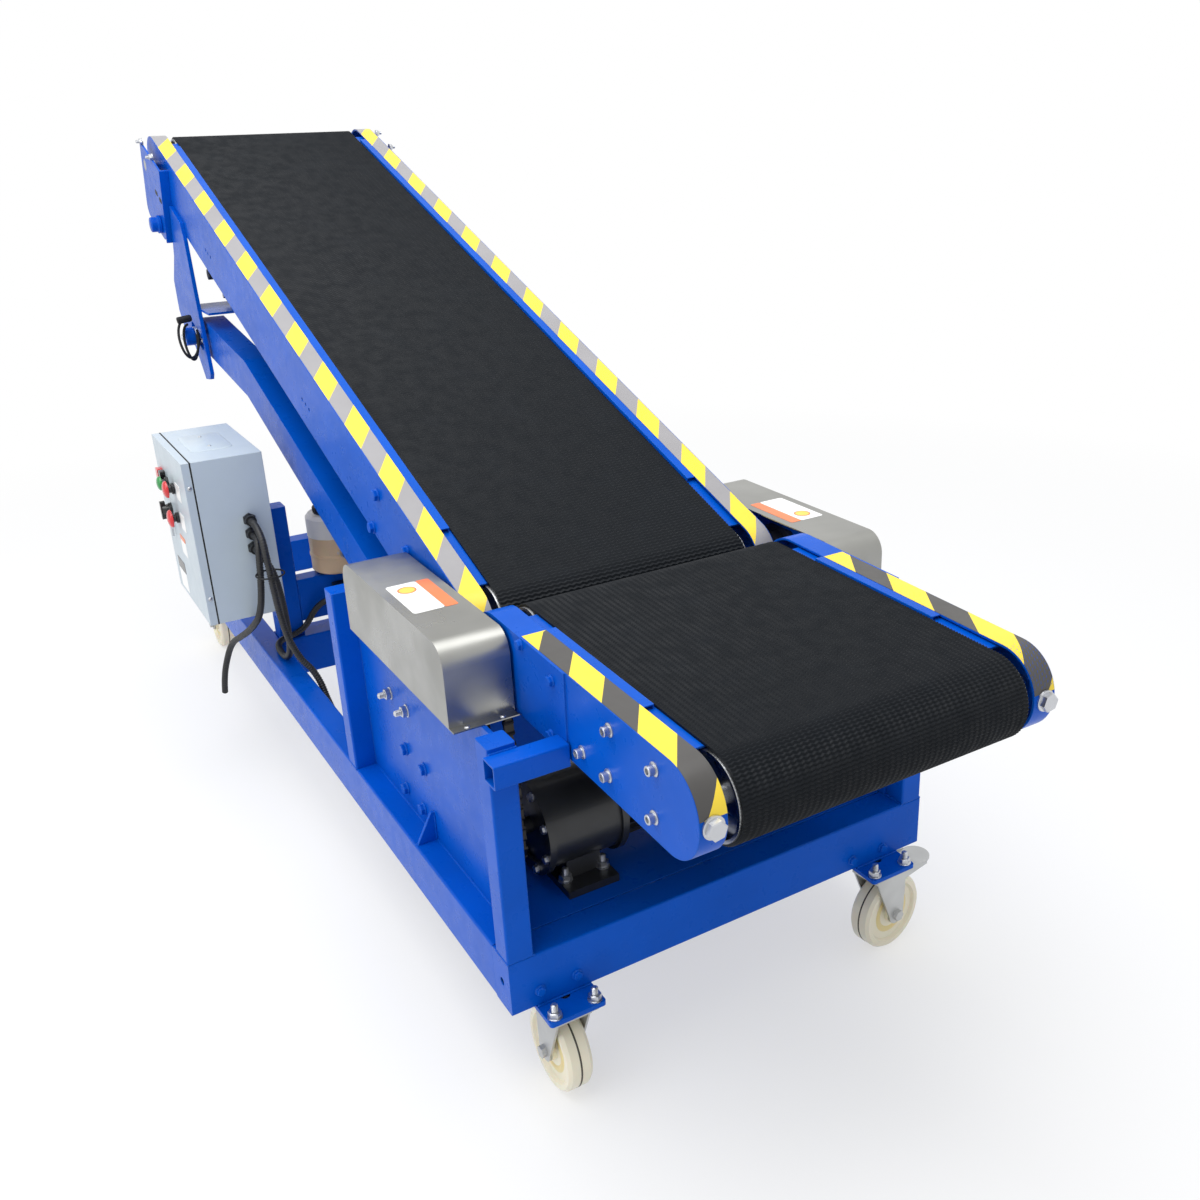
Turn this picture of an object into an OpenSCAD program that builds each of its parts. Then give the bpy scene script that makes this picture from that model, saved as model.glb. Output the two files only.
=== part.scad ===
// Portable belt conveyor: a short level feed conveyor and a lifting boom conveyor on a wheeled base.
// Millimetres, +Z up, floor at z = 0. The modules work in the frame of the base: x = 0 at the front
// face of the base frame with +X towards the feed end, y = 0 on the belt's centre line.
// seat() then moves everything so that the part's own origin is the middle of its footprint.

/* [Base frame] */
// Width over the side tubes
base_w = 854; // [846:1:870]
// Length from the front tube's face to the rear tube's face
base_l = 2250; // [2100:1:2400]
// Height of the base tubes
base_h = 100; // [80:1:120]
// Width of the two side tubes
side_tube_w = 52; // [40:1:60]
// Depth of the front and rear tubes
end_tube_w = 60; // [50:1:70]
// Wall of the steel tubes
tube_t = 4; // [3:0.5:5]
// Height of the tubes' underside above the floor
base_z = 198; // [190:1:220]
// Distance of the middle cross tubes' rear faces from the base's front face
cross_x = [842, 1525]; // [600:1:1700]
// Depth of a middle cross tube
cross_w = 84; // [50:1:100]

/* [Side frames] */
// Side of the square posts
post_w = 45; // [40:1:50]
// Height of the posts above the base
post_h = 380; // [330:1:420]
// Distance of the rear posts' front face from the base's front face
rear_post_x = 718; // [650:1:760]
// Thickness of the side panel
panel_t = 8; // [5:1:10]
// Front and rear edges of the panel's raised ear, behind the front face
ear_x = [150, 450]; // [100:1:500]
// Side of the square feed support tube on the front posts
stub_w = 38; // [30:1:42]
// Height of that tube's top above the base's top
stub_up = 372; // [350:1:376]

/* [Feed conveyor] */
// Width over the feed conveyor's side channels
feed_w = 624; // [600:1:660]
// Height of the side channels
feed_h = 140; // [130:1:146]
// Front end of the side channels, ahead of the base's front face
feed_front = 375; // [300:1:450]
// Rear end of the side channels, behind the base's front face
feed_rear = 280; // [270:1:284]
// Height of the channels' top at the front end
feed_top = 770; // [750:1:776]
// Fall of the feed conveyor towards its front end, degrees
feed_fall = 1.8; // [0:0.1:2.4]
// Width of the top flange
flange_w = 42; // [36:1:54]
// Sheet of the side channels
channel_t = 4; // [3:0.5:5]
// How far the front drum stands ahead of the channel's round end
drum_lead = 10; // [0:1:14]

/* [Boom conveyor] */
// Width over the boom's side channels
boom_w = 626; // [600:1:630]
// Height of the boom's side channels
boom_h = 147; // [140:1:152]
// Length of the boom's side channels
boom_l = 2249; // [2100:1:2400]
// Slope of the boom as it stands, degrees
boom_slope = 19.4; // [14:0.1:22]
// Distance of the boom's pivot behind the base's front face
pivot_x = 374; // [373:1:385]
// Height of the boom's pivot above the floor
pivot_z = 703; // [695:1:712]

/* [Belts and drums] */
// Width of the belts
belt_w = 500; // [450:1:510]
// Thickness of the belts
belt_t = 5; // [3:0.5:6]
// How far the belt's running face lies below the top flange
belt_drop = 4; // [2:0.5:8]
// Radius of the drum shafts
shaft_r = 15; // [12:0.5:18]
// Thickness of the sliding bed under the belt
bed_t = 3; // [2:0.5:4]

/* [Covers] */
// Front and rear ends of a drive cover, behind the base's front face
cover_x = [138, 605]; // [100:1:650]
// How far a drive cover reaches inwards and outwards from the side panel's outer face
cover_reach = [65, 45]; // [40:1:70]
// Bottom and top of a drive cover
cover_z = [650, 785]; // [640:1:790]
// Radius of a cover's front and rear top edges
cover_r = 38; // [20:1:45]
// Sheet of the covers
cover_t = 2; // [1.5:0.5:3]

/* [Lift arms] */
// Distance of the arms' lower pivot behind the base's front face
arm_pivot_x = 620; // [600:1:640]
// Height of the arms' lower pivot
arm_pivot_z = 545; // [535:1:555]
// Distance of the arms' bend behind the base's front face
arm_bend_x = 1690; // [1600:1:1740]
// Height of the arm's middle line at the bend
arm_bend_z = 912; // [900:1:925]
// Distance of the arms' upper pin behind the base's front face
arm_pin_x = 2115; // [2108:1:2122]
// Height of the arms' upper pin
arm_pin_z = 963; // [955:1:968]
// Height of the arm's section
arm_h = 94; // [80:1:100]
// Width of the arm's section
arm_w = 60; // [50:1:66]
// Clearance between an arm and the hanger plate beside it
arm_gap = 7; // [5:1:12]
// Radius of the arms' pins
arm_pin_r = 14; // [10:0.5:18]
// Half length of the hanger's slot for the upper pin
slot_half = 42; // [38:1:46]
// Thickness of the hanger plates
hanger_t = 10; // [6:1:12]

/* [Lift cylinder] */
// Distance of the cylinder's foot pin behind the base's front face
foot_x = 800; // [790:1:810]
// Height of the cylinder's foot pin
foot_z = 352; // [345:1:360]
// Distance of the rod's eye behind the base's front face
eye_x = 1368; // [1350:1:1380]
// Height of the rod's eye
eye_z = 730; // [720:1:735]
// Radius of the cylinder's barrel
barrel_r = 32; // [26:1:36]
// Radius of the cylinder's rod
rod_r = 17; // [14:1:20]
// Length of the barrel from the foot pin
barrel_l = 430; // [400:1:450]

/* [Casters] */
// Diameter of the wheels
wheel_d = 150; // [140:1:158]
// Width of the wheels
wheel_w = 45; // [38:1:50]
// Trail of the wheel behind the swivel
trail = 30; // [20:1:36]
// Side of the square caster plates
plate_s = 100; // [90:1:104]
// Thickness of the pads welded under the base
pad_t = 8; // [5:1:10]
// Thickness of the caster's own plate
top_plate_t = 4; // [3:0.5:5]

/* [Control cabinet] */
// Rear and front ends of the cabinet, behind the base's front face
cab_x = [1310, 1640]; // [1250:1:1700]
// Back and door faces of the cabinet from the centre line
cab_y = [381, 556]; // [378:1:600]
// Bottom and top of the cabinet
cab_z = [435, 820]; // [400:1:850]
// Sheet of the cabinet
cab_t = 2; // [1.5:0.5:3]
// Depth of the door
door_d = 20; // [14:1:24]

/* [Hidden] */
$fn = 48;
gap = 0.3;
base_top = base_z + base_h;
half_w = base_w / 2;
inner_y = half_w - side_tube_w;
panel_y = half_w - post_w + 3;
cover_y = [panel_y - cover_reach[0], panel_y + cover_reach[1]];
arm_y = boom_w / 2 - arm_gap;
floor_play = 0.5;
doubler_t = 3;
door_gap = 0.5;

feed_r = feed_h / 2;
feed_belt_r = feed_r - belt_drop / 2;
feed_drum_x = [-(feed_rear - feed_r), feed_front - feed_r + drum_lead];
feed_level = feed_top - feed_r;

boom_r = boom_h / 2;
boom_belt_r = boom_r - belt_drop;
boom_span = boom_l - boom_h;
head_x = -pivot_x - boom_span * cos(boom_slope);

box_x = [head_x - boom_r, feed_front + drum_lead - belt_drop / 2];
button_reach = 28;
stub_end = half_w + 8;
// Casters: x and y of the swivel, the way the wheel trails in degrees, and whether it has a brake
CASTERS = [
    [0, -(half_w - 92), 180, true],
    [0, half_w - 102, 98, true],
    [-(base_l - 50), -(half_w - 50), 180, false],
    [-(base_l - 50), half_w - 50, 158, false]
];
pedal_x = 115;
pedal_r = 28;
pedal_end = CASTERS[1][1] + pedal_x * sin(CASTERS[1][2]) + pedal_r;
box_y = [-(cab_y[1] + button_reach), pedal_end];
origin = [(box_x[0] + box_x[1]) / 2, (box_y[0] + box_y[1]) / 2, 0];

bearing_r = 36;
bearing_l = 28;
chain_y = arm_y + 22;
head_chain_y = 281;
bracket_l = 217;
chain_pitch = 19.05;
sprocket_teeth = 17;
sprocket_r = chain_pitch / 2 / sin(180 / sprocket_teeth);
// Pins and cheeks of the lift cylinder
eye_pin_r = 10;
eye_play = 7;
cheek_y = 22;
motor_shaft_r = 14;
motor_x = 190;
motor_z = base_top + 104;
head_motor_x = 2065;
head_motor_z = 1128;
// Knuckles of the door's hinge: radius, place of the axis in x and y, and heights of the joints
hinge_r = 5;
hinge_at = [-(cab_x[1] + hinge_r + 1), -cab_y[1] + door_d - hinge_r];
hinge_z = [cab_z[0] + 80, cab_z[1] - 80];
gland_y = 432;
// Cabinet's posts: width across, and top of their cross tube above the base; the tank stands on it
ctrl_post_w = 62;
ctrl_tube_top = 145;
tank_y = 200;
tank_up = ctrl_tube_top + 5;
nozzle_z = base_top + tank_up + 57;

// Free conduits, point by point, in the frame of the base
conduit_d = 16;
hose_d = 14;
LONG_CONDUIT = [
    [-1289.7, -432, 670], [-1270, -432, 670], [-1243, -431, 663], [-1218, -430, 642],
    [-1206, -430, 612], [-1205, -428, 575], [-1205, -425, 520], [-1205, -420, 460],
    [-1204, -410, 400], [-1200, -392, 350], [-1192, -372, 318], [-1180, -360, 285],
    [-1155, -356, 252], [-1115, -354, 228], [-1060, -354, 217], [-1000, -354, 222],
    [-945, -354, 247], [-905, -354, 279], [-870, -354, 300], [-835, -354, 308],
    [-780, -354, 308], [-720, -354, 304], [-640, -352, 297], [-560, -352, 290],
    [-480, -352, 290], [-410, -350, 297], [-360, -345, 306], [-325, -325, 308],
    [-312, -280, 308], [-312, -220, 308], [-316, -150, 308], [-318, -105, 319],
    [-318, -80, 345], [-318, -68, 380], [-316, -64, 412], [-305, -64, 443],
    [-284, -64, 466], [-262, -64, 477], [-235.3, -64, 477]
];
TAIL_CONDUIT = [
    [-1289.7, -432, 637], [-1270, -432, 637], [-1252, -434, 629], [-1241, -438, 606],
    [-1238, -441, 575], [-1240, -445, 530], [-1245, -451, 485], [-1262, -457, 450],
    [-1296, -461, 422], [-1345, -464, 391], [-1400, -467, 360], [-1470, -470, 324],
    [-1534, -474, 290], [-1578, -481, 251], [-1612, -492, 193], [-1628, -498, 150],
    [-1640, -501, 110]
];
PUMP_CONDUIT = [
    [-1289.7, -432, 602], [-1272, -432, 602], [-1254, -427, 594], [-1244, -418, 572],
    [-1241, -410, 540], [-1242, -404, 490], [-1248, -400, 430], [-1258, -398, 375],
    [-1278, -398, 336], [-1308, -399, 315], [-1340, -400, 308], [-1385, -398, 308],
    [-1418, -388, 308], [-1438, -368, 308], [-1447, -342, 309], [-1449, -324, 315],
    [-1449, -309, 326], [-1447, -298, 341], [-1443, -286, 359], [-1437, -272, 375],
    [-1433, -256, 383], [-1433, -246, 384], [-1433, -230.3, 384]
];
HOSE_ROUTE = [
    [-1400.7, -200, 505], [-1380, -200, 505], [-1350, -199, 498], [-1310, -196, 478],
    [-1262, -190, 440], [-1205, -182, 400], [-1140, -172, 366], [-1065, -160, 341],
    [-985, -145, 328], [-915, -125, 324], [-880, -112, 324], [-860, -110, 324],
    [-830.3, -110, 324]
];

// Moves a piece from the base's frame to the part's own origin
module seat() {
    translate(-origin) children();
}

// Gives a flat outline in the x-z plane its thickness, from y = a to y = b
module slab_y(a, b) {
    translate([0, b, 0]) rotate([90, 0, 0]) linear_extrude(b - a) children();
}

// The same piece on the left (-y) or, mirrored, on the right
module on_side(right) {
    if (right) mirror([0, 1, 0]) children();
    else children();
}

// Long outline with round ends; a and b are the centres of its ends
module track(a, b, r) {
    translate([a, -r]) square([b - a, 2 * r]);
    translate([a, 0]) circle(r);
    translate([b, 0]) circle(r);
}

// Rectangle with round corners, centred
module soft_rect(w, h, r) {
    square([w - 2 * r, h], center = true);
    square([w, h - 2 * r], center = true);
    for (x = [-1, 1], y = [-1, 1]) translate([x * (w / 2 - r), y * (h / 2 - r)]) circle(r);
}

// Square steel tube along x, from x = 0, centred on y and z
module tube_x(l, w, h, t = tube_t) {
    rotate([90, 0, 90]) linear_extrude(l) difference() {
        soft_rect(w, h, t);
        square([w - 2 * t, h - 2 * t], center = true);
    }
}

// Square steel tube along y, centred on y
module tube_y(l, w, h, t = tube_t) {
    translate([0, l / 2, 0]) rotate([90, 0, 0]) linear_extrude(l) difference() {
        soft_rect(w, h, t);
        square([w - 2 * t, h - 2 * t], center = true);
    }
}

// Round bar along y between y = a and y = b
module bar_y(a, b, r) {
    translate([0, a, 0]) rotate([-90, 0, 0]) cylinder(r = r, h = b - a);
}

// Frame of the feed conveyor: x as the base, z = 0 on the drums' level
module in_feed() {
    translate([feed_front, 0, feed_level]) rotate([0, feed_fall, 0]) translate([-feed_front, 0, 0])
        children();
}

// Frame of the boom: x = 0 and z = 0 on the pivot, the boom runs towards -x
module in_boom() {
    translate([-pivot_x, 0, pivot_z]) rotate([0, boom_slope, 0]) children();
}

module base_rail(right) {
    color("royalblue") on_side(right)
        translate([-base_l, -half_w + side_tube_w / 2, base_z + base_h / 2])
        tube_x(base_l - end_tube_w, side_tube_w, base_h);
}

module base_cross_tubes() {
    color("royalblue") {
        translate([-end_tube_w / 2, 0, base_z + base_h / 2]) tube_y(base_w, end_tube_w, base_h);
        translate([-base_l + end_tube_w / 2, 0, base_z + base_h / 2])
            tube_y(2 * inner_y, end_tube_w, base_h);
        for (y = [-half_w, half_w - 3]) difference() {
            translate([-end_tube_w + tube_t, y, base_z + tube_t])
                cube([end_tube_w - 2 * tube_t, 3, base_h - 2 * tube_t]);
            translate([-end_tube_w / 2, y, base_z + base_h / 2]) bar_y(-1, 4, 7);
        }
        for (x = cross_x)
            translate([-x + cross_w / 2, 0, base_z + base_h / 2]) tube_y(2 * inner_y, cross_w, base_h);
    }
}

module caster_pads() {
    color("royalblue") for (c = CASTERS)
        translate([c[0], c[1], base_z - pad_t]) linear_extrude(pad_t) difference() {
            soft_rect(plate_s, plate_s, 6);
            circle(9);
        }
}

module caster_top_plates() {
    color("silver") for (c = CASTERS) translate([c[0], c[1], base_z - pad_t - top_plate_t]) {
        linear_extrude(top_plate_t) difference() {
            soft_rect(plate_s - 6, plate_s - 16, 8);
            circle(7);
        }
        translate([0, 0, -6]) difference() {
            cylinder(r1 = 26, r2 = 31, h = 6);
            translate([0, 0, -1]) cylinder(r = 7, h = 8);
        }
    }
}

// Outline of the side panel in x and z, with the ear that carries both shafts
module panel_outline() {
    ear_top = cover_z[1] - cover_t - gap;
    edge = cover_z[0] - gap;
    polygon([
        [-rear_post_x, base_top], [-post_w, base_top], [-post_w, edge], [-ear_x[0], edge],
        [-ear_x[0], cover_z[1] - cover_r], [-cover_x[0] - cover_r, ear_top], [-ear_x[1], ear_top],
        [-ear_x[1] - 90, edge], [-rear_post_x, edge]
    ]);
}

module side_frame(right) {
    tail_z = feed_tail_z();
    color("royalblue") on_side(right) {
        difference() {
            slab_y(-panel_y, -panel_y + panel_t) panel_outline();
            translate([-pivot_x, 0, pivot_z]) bar_y(-half_w, 0, shaft_r + 3);
            translate([feed_tail_x(), 0, tail_z]) bar_y(-half_w, 0, shaft_r + 3);
            translate([-arm_pivot_x, 0, arm_pivot_z]) bar_y(-panel_y + 3, 0, arm_pin_r + gap);
        }
        for (x = [-post_w, -rear_post_x - post_w])
            translate([x + post_w / 2, -half_w + post_w / 2, base_top])
                linear_extrude(post_h) soft_rect(post_w, post_w, 4);
        translate([-395, -half_w + 4, base_top]) rotate([90, 0, 90]) linear_extrude(6)
            polygon([[0, 0], [post_w - 6, 0], [post_w - 6, 58], [post_w - 14, 58]]);
        stub_l = stub_end - feed_w / 2 - doubler_t - gap;
        translate([stub_w / 2, -stub_end + stub_l / 2, base_top + stub_up - stub_w / 2])
            tube_y(stub_l, stub_w, stub_w, 3);
    }
}

// Place of the feed conveyor's rear drum in the base's frame
function feed_tail_x() = feed_front + (feed_drum_x[0] - feed_front) * cos(feed_fall);
function feed_tail_z() = feed_level - (feed_drum_x[0] - feed_front) * sin(feed_fall);

module flange_bearing() {
    difference() {
        union() {
            translate([0, -bearing_l, 0]) bar_y(0, bearing_l, bearing_r);
            slab_y(-10, 0) soft_rect(84, 84, 14);
        }
        bar_y(-bearing_l - 1, 1, shaft_r + gap);
    }
}

module shaft_bearings() {
    color("dimgray") for (right = [false, true]) on_side(right)
        for (p = [[-pivot_x, pivot_z], [feed_tail_x(), feed_tail_z()]])
            translate([p[0], -panel_y + panel_t, p[1]]) mirror([0, 1, 0]) flange_bearing();
}

// Side channel of a conveyor: web, round ends and the flange bent inwards all round
module channel_side(a, b, r, out) {
    slab_y(-out, -out + channel_t) track(a, b, r);
    slab_y(-out, -out + flange_w) difference() {
        track(a, b, r);
        track(a, b, r - channel_t);
    }
}

module feed_side(right) {
    a = -(feed_rear - feed_r);
    b = feed_front - feed_r;
    color("royalblue") on_side(right) in_feed() difference() {
        union() {
            channel_side(a, b, feed_r, feed_w / 2);
            slab_y(-feed_w / 2 - doubler_t, -feed_w / 2) intersection() {
                track(a, b, feed_r);
                translate([a - feed_r, -feed_r]) square([30 - a + feed_r, feed_h]);
            }
        }
        translate([feed_drum_x[0], 0, 0]) bar_y(-feed_w / 2 - 4, 0, shaft_r + gap);
    }
}

// Sheet that the belt slides on, with cross tubes between the side channels and, from lip[0] to
// lip[1], a folded strip that closes the space between belt and flange; r is the flange's top
module bed(a, b, r_in, half, braces, lip, r) {
    top = r_in - gap;
    lip_y = belt_w / 2 + 3;
    strip_w = half + channel_t - flange_w - gap - lip_y;
    translate([a, -half, top - bed_t]) cube([b - a, 2 * half, bed_t]);
    for (x = braces) translate([x, 0, top - bed_t - 20]) tube_y(2 * half, 40, 40, 3);
    for (right = [false, true]) on_side(right) translate([lip[0], -lip_y, 0]) {
        translate([0, -2, top - 1]) cube([lip[1] - lip[0], 2, r - top + 1]);
        translate([0, -strip_w, r - 2]) cube([lip[1] - lip[0], strip_w, 2]);
    }
}

module feed_bed() {
    color("royalblue") in_feed()
        bed(feed_drum_x[0] + 24, feed_drum_x[1] - 24, feed_belt_r - belt_t,
            feed_w / 2 - channel_t, [feed_drum_x[0] + 160, feed_drum_x[1] - 160],
            [feed_drum_x[0] + 96, feed_drum_x[1] - 140], feed_r);
}

module belt(a, b, r) {
    slab_y(-belt_w / 2, belt_w / 2) difference() {
        track(a, b, r);
        track(a, b, r - belt_t);
    }
}

module feed_belt() {
    color([0.09, 0.09, 0.1]) in_feed() belt(feed_drum_x[0], feed_drum_x[1], feed_belt_r);
}

// Drum with a sunk end and its shaft
module drum(r, shaft_half) {
    difference() {
        bar_y(-belt_w / 2 - 4, belt_w / 2 + 4, r);
        for (s = [-1, 1]) translate([0, s * (belt_w / 2 + 4), 0]) bar_y(-12, 12, r - 5);
    }
    bar_y(-shaft_half, shaft_half, shaft_r);
}

module feed_drums() {
    color("silver") in_feed() {
        translate([feed_drum_x[0], 0, 0]) drum(feed_belt_r - belt_t - gap, panel_y + 12);
        translate([feed_drum_x[1], 0, 0]) drum(feed_belt_r - belt_t - gap, feed_w / 2 - channel_t - gap);
    }
}

// Outline of a drive cover in x and z
module cover_outline(inset) {
    l = cover_x[1] - cover_x[0];
    h = cover_z[1] - cover_z[0];
    r = cover_r - inset;
    open = inset > 0 ? 1 : 0;
    translate([-cover_x[1] + inset, cover_z[0] - open]) square([l - 2 * inset, h - cover_r + open]);
    translate([-cover_x[1] + cover_r, cover_z[0] - open]) square([l - 2 * cover_r, h - inset + open]);
    for (x = [-cover_x[1] + cover_r, -cover_x[0] - cover_r])
        translate([x, cover_z[1] - cover_r]) circle(r);
}

module drive_cover(right) {
    color("gainsboro") on_side(right) {
        difference() {
            slab_y(-cover_y[1], -cover_y[0]) cover_outline(0);
            slab_y(-cover_y[1] + cover_t, -cover_y[0] + 1) cover_outline(cover_t);
        }
        translate([-cover_x[0], -cover_y[1], cover_z[0]]) cube([18, cover_y[1] - cover_y[0], cover_t]);
    }
}

module feed_motor_plate() {
    color("royalblue") translate([-330, -inner_y, base_top - 6])
        cube([330 - end_tube_w, 2 * inner_y, 6]);
}

// Geared motor along y: shaft end towards -y, round gear case, flange rings and finned motor
module gearmotor(case_r, motor_r, case_l, motor_l, box_turn) {
    difference() {
        union() {
            bar_y(0, case_l, case_r - 6);
            for (y = [0, case_l - 12]) bar_y(y, y + 12, case_r);
            bar_y(case_l, case_l + motor_l, motor_r - 8);
            bar_y(case_l + motor_l - 40, case_l + motor_l, motor_r);
            for (i = [0:23]) rotate([0, i * 15, 0])
                translate([-1.5, case_l, 0]) cube([3, motor_l - 60, motor_r]);
        }
        bar_y(-1, 6, case_r - 22);
    }
    bar_y(-42, 20, motor_shaft_r);
    rotate([0, box_turn, 0]) translate([-45, case_l + 40, motor_r - 14]) cube([90, 80, 34]);
}

module feed_gearmotor() {
    case_r = 88;
    color([0.12, 0.12, 0.13]) translate([-motor_x, -chain_y + 34, motor_z]) {
        gearmotor(case_r, 72, 150, 230, 0);
        difference() {
            translate([-96, 24, -104]) cube([192, 96, 14]);
            for (x = [-80, 60], y = [36, 108]) translate([x, y, -105]) cylinder(r = 6, h = 16);
        }
        translate([-60, 40, -95]) cube([120, 64, 60]);
    }
}

// Toothed wheel of the chain drive in x and z
module sprocket_outline(n, r) {
    tip = r - 5 - gap;
    root = tip - 6;
    polygon([for (i = [0:n - 1], k = [0:3])
        let (step = 360 / n, ang = (i + [0.05, 0.3, 0.7, 0.95][k]) * step, rad = k == 0 || k == 3 ? tip : root)
        [rad * cos(ang), rad * sin(ang)]]);
}

module sprocket(n, bore_r) {
    r = chain_pitch / 2 / sin(180 / n);
    difference() {
        union() {
            slab_y(-4, 4) sprocket_outline(n, r);
            bar_y(-14, 4, bore_r + 10);
        }
        bar_y(-15, 5, bore_r + gap);
    }
}

// Point at length s along the chain's middle line, round two wheels of radius r and span apart
function chain_point(s, span, r) =
    let (half = PI * r, u = s % (2 * span + 2 * half))
    u < span ? [u, r]
    : u < span + half ? let (a = 90 - (u - span) / r * 180 / PI) [span + r * cos(a), r * sin(a)]
    : u < 2 * span + half ? [2 * span + half - u, -r]
    : let (a = -90 - (u - 2 * span - half) / r * 180 / PI) [r * cos(a), r * sin(a)];

// Roller chain round two wheels of the same size: wide and narrow links by turns, pinned at discs
module chain_loop(p, q, r) {
    span = norm(q - p);
    lean = atan2(q[1] - p[1], q[0] - p[0]);
    total = 2 * span + 2 * PI * r;
    links = 2 * round(total / chain_pitch / 2);
    step = total / links;
    translate([p[0], 0, p[1]]) rotate([0, -lean, 0]) for (i = [0:links - 1]) {
        a = chain_point(i * step, span, r);
        b = chain_point((i + 1) * step, span, r);
        half = i % 2 == 0 ? 8 : 5.5;
        slab_y(-half, half) translate(a) rotate(atan2(b[1] - a[1], b[0] - a[0]))
            translate([0, -3.5]) square([norm(b - a), 7]);
        slab_y(-8.5, 8.5) translate(a) circle(5, $fn = 8);
    }
}

module feed_chain_drive() {
    color("dimgray") translate([0, -chain_y, 0]) {
        translate([-motor_x, 0, motor_z]) sprocket(sprocket_teeth, motor_shaft_r);
        translate([feed_tail_x(), 0, feed_tail_z()]) sprocket(sprocket_teeth, shaft_r);
        chain_loop([-motor_x, motor_z], [feed_tail_x(), feed_tail_z()], sprocket_r);
    }
}

module control_posts() {
    x = -cross_x[1] + cross_w / 2;
    color("royalblue") {
        for (s = [-1, 1]) translate([x, s * (inner_y - ctrl_post_w / 2), base_top])
            linear_extrude(340) soft_rect(50, ctrl_post_w, 4);
        translate([x, 0, base_top + ctrl_tube_top - 55]) tube_y(2 * (inner_y - ctrl_post_w), 50, 110);
        translate([x - 25, -cab_y[0], cab_z[0] + 30]) cube([50, cab_y[0] - inner_y + 1, 170]);
    }
}

module control_cabinet() {
    size = [cab_x[1] - cab_x[0], cab_y[1] - cab_y[0] - door_d - door_gap, cab_z[1] - cab_z[0]];
    color("lightgray") translate([-cab_x[1], -cab_y[1] + door_d + door_gap, cab_z[0]]) difference() {
        cube(size);
        translate([cab_t, -1, cab_t]) cube(size - [2 * cab_t, cab_t - 1, 2 * cab_t]);
    }
    color("lightgray") for (z = hinge_z) translate([hinge_at[0], hinge_at[1], z + gap]) {
        cylinder(r = hinge_r, h = 26);
        translate([hinge_r - 2.3, 0, 0]) cube([3, 20, 26]);
        translate([hinge_r - 2.3, hinge_r + 1, 0]) cube([3.3, 14, 26]);
    }
}

module cable_glands() {
    color([0.1, 0.1, 0.1]) for (z = [670, 637, 602])
        translate([-cab_x[0], -432, z]) rotate([0, 90, 0]) {
            cylinder(r = 15, h = 8, $fn = 6);
            cylinder(r = 12.5, h = 20);
        }
}

module cabinet_door() {
    size = [cab_x[1] - cab_x[0], door_d, cab_z[1] - cab_z[0]];
    color("lightgray") translate([-cab_x[1], -cab_y[1], cab_z[0]]) difference() {
        cube(size);
        translate([8, cab_t, 8]) cube([size[0] - 16, door_d, size[2] - 16]);
    }
    color("lightgray") for (z = hinge_z) translate([hinge_at[0], hinge_at[1], z - gap - 26]) {
        cylinder(r = hinge_r, h = 26);
        translate([0, -3, 0]) cube([hinge_r + 1, 3, 26]);
    }
}

module door_controls() {
    translate([-cab_x[1], -cab_y[1], cab_z[0]]) {
        color("crimson") for (p = [[225, 255], [240, 178]])
            translate([p[0], -button_reach, p[1]]) bar_y(0, button_reach, 13);
        color("green") translate([140, -button_reach + 6, 268]) bar_y(0, button_reach - 6, 11);
        color("black") translate([140, -button_reach + 4, 195]) bar_y(0, button_reach - 4, 12);
        color("darkred") translate([65, -8, 288]) cube([30, 8, 30]);
    }
}

module power_unit() {
    x = -cross_x[1] + cross_w / 2;
    color("tan") translate([x, -tank_y, base_top + tank_up]) {
        cylinder(r = 62, h = 150);
        translate([0, 0, 150]) cylinder(r = 40, h = 20);
        translate([55, 0, nozzle_z - base_top - tank_up]) rotate([0, 90, 0]) cylinder(r = 10, h = 27);
        translate([-30, -30, ctrl_tube_top - tank_up]) cube([60, 60, tank_up - ctrl_tube_top + 1]);
    }
    color([0.12, 0.12, 0.13]) translate([x + 25, -tank_y - 30, base_top + 52]) cube([50, 60, 70]);
    color("dimgray") translate([-foot_x - 30, -125, base_top]) cube([60, 30, 50]);
}

module boom_side(right) {
    color("royalblue") on_side(right) in_boom() difference() {
        channel_side(-boom_span, 0, boom_r, boom_w / 2);
        for (x = [0, -boom_span]) translate([x, 0, 0]) bar_y(-boom_w / 2 - 1, 0, shaft_r + gap);
        for (x = guard_hole_x, d = [-22, 0, 22])
            translate([x + d, 0, -20]) bar_y(-boom_w / 2 - 1, -boom_w / 2 + channel_t + 1, 4.5);
    }
}

guard_hole_x = [-800, -1560];

module boom_bed() {
    color("royalblue") in_boom()
        bed(-boom_span + 24, -24, boom_belt_r - belt_t, boom_w / 2 - channel_t,
            [for (i = [0:4]) -170 - i * (boom_span - 340) / 4], [-boom_span + 68, -180], boom_r);
}

module boom_belt() {
    color([0.09, 0.09, 0.1]) in_boom() belt(-boom_span, 0, boom_belt_r);
}

module boom_drums() {
    color("silver") in_boom() {
        drum(boom_belt_r - belt_t - gap, panel_y + 12);
        translate([-boom_span, 0, 0]) drum(boom_belt_r - belt_t - gap, boom_w / 2 + 24);
    }
}

// Plates outside the head end that carry the drum's bearing and its tensioner
module head_brackets() {
    color("royalblue") for (right = [false, true]) on_side(right) in_boom() {
        translate([0, -boom_w / 2 - 24, 0]) difference() {
            union() {
                slab_y(0, 5) translate([-boom_span - 40, -150]) soft_plate(bracket_l, 200, 30);
                translate([-boom_span - 46 + bracket_l, 0, -150]) cube([6, 24, 200]);
            }
            translate([-boom_span, 0, 0]) bar_y(-1, 6, shaft_r + gap);
        }
    }
}

// Plate with its lower corner at the origin and round lower corners
module soft_plate(w, h, r) {
    translate([r, 0]) square([w - 2 * r, h]);
    translate([0, r]) square([w, h - r]);
    for (x = [r, w - r]) translate([x, r]) circle(r);
}

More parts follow.
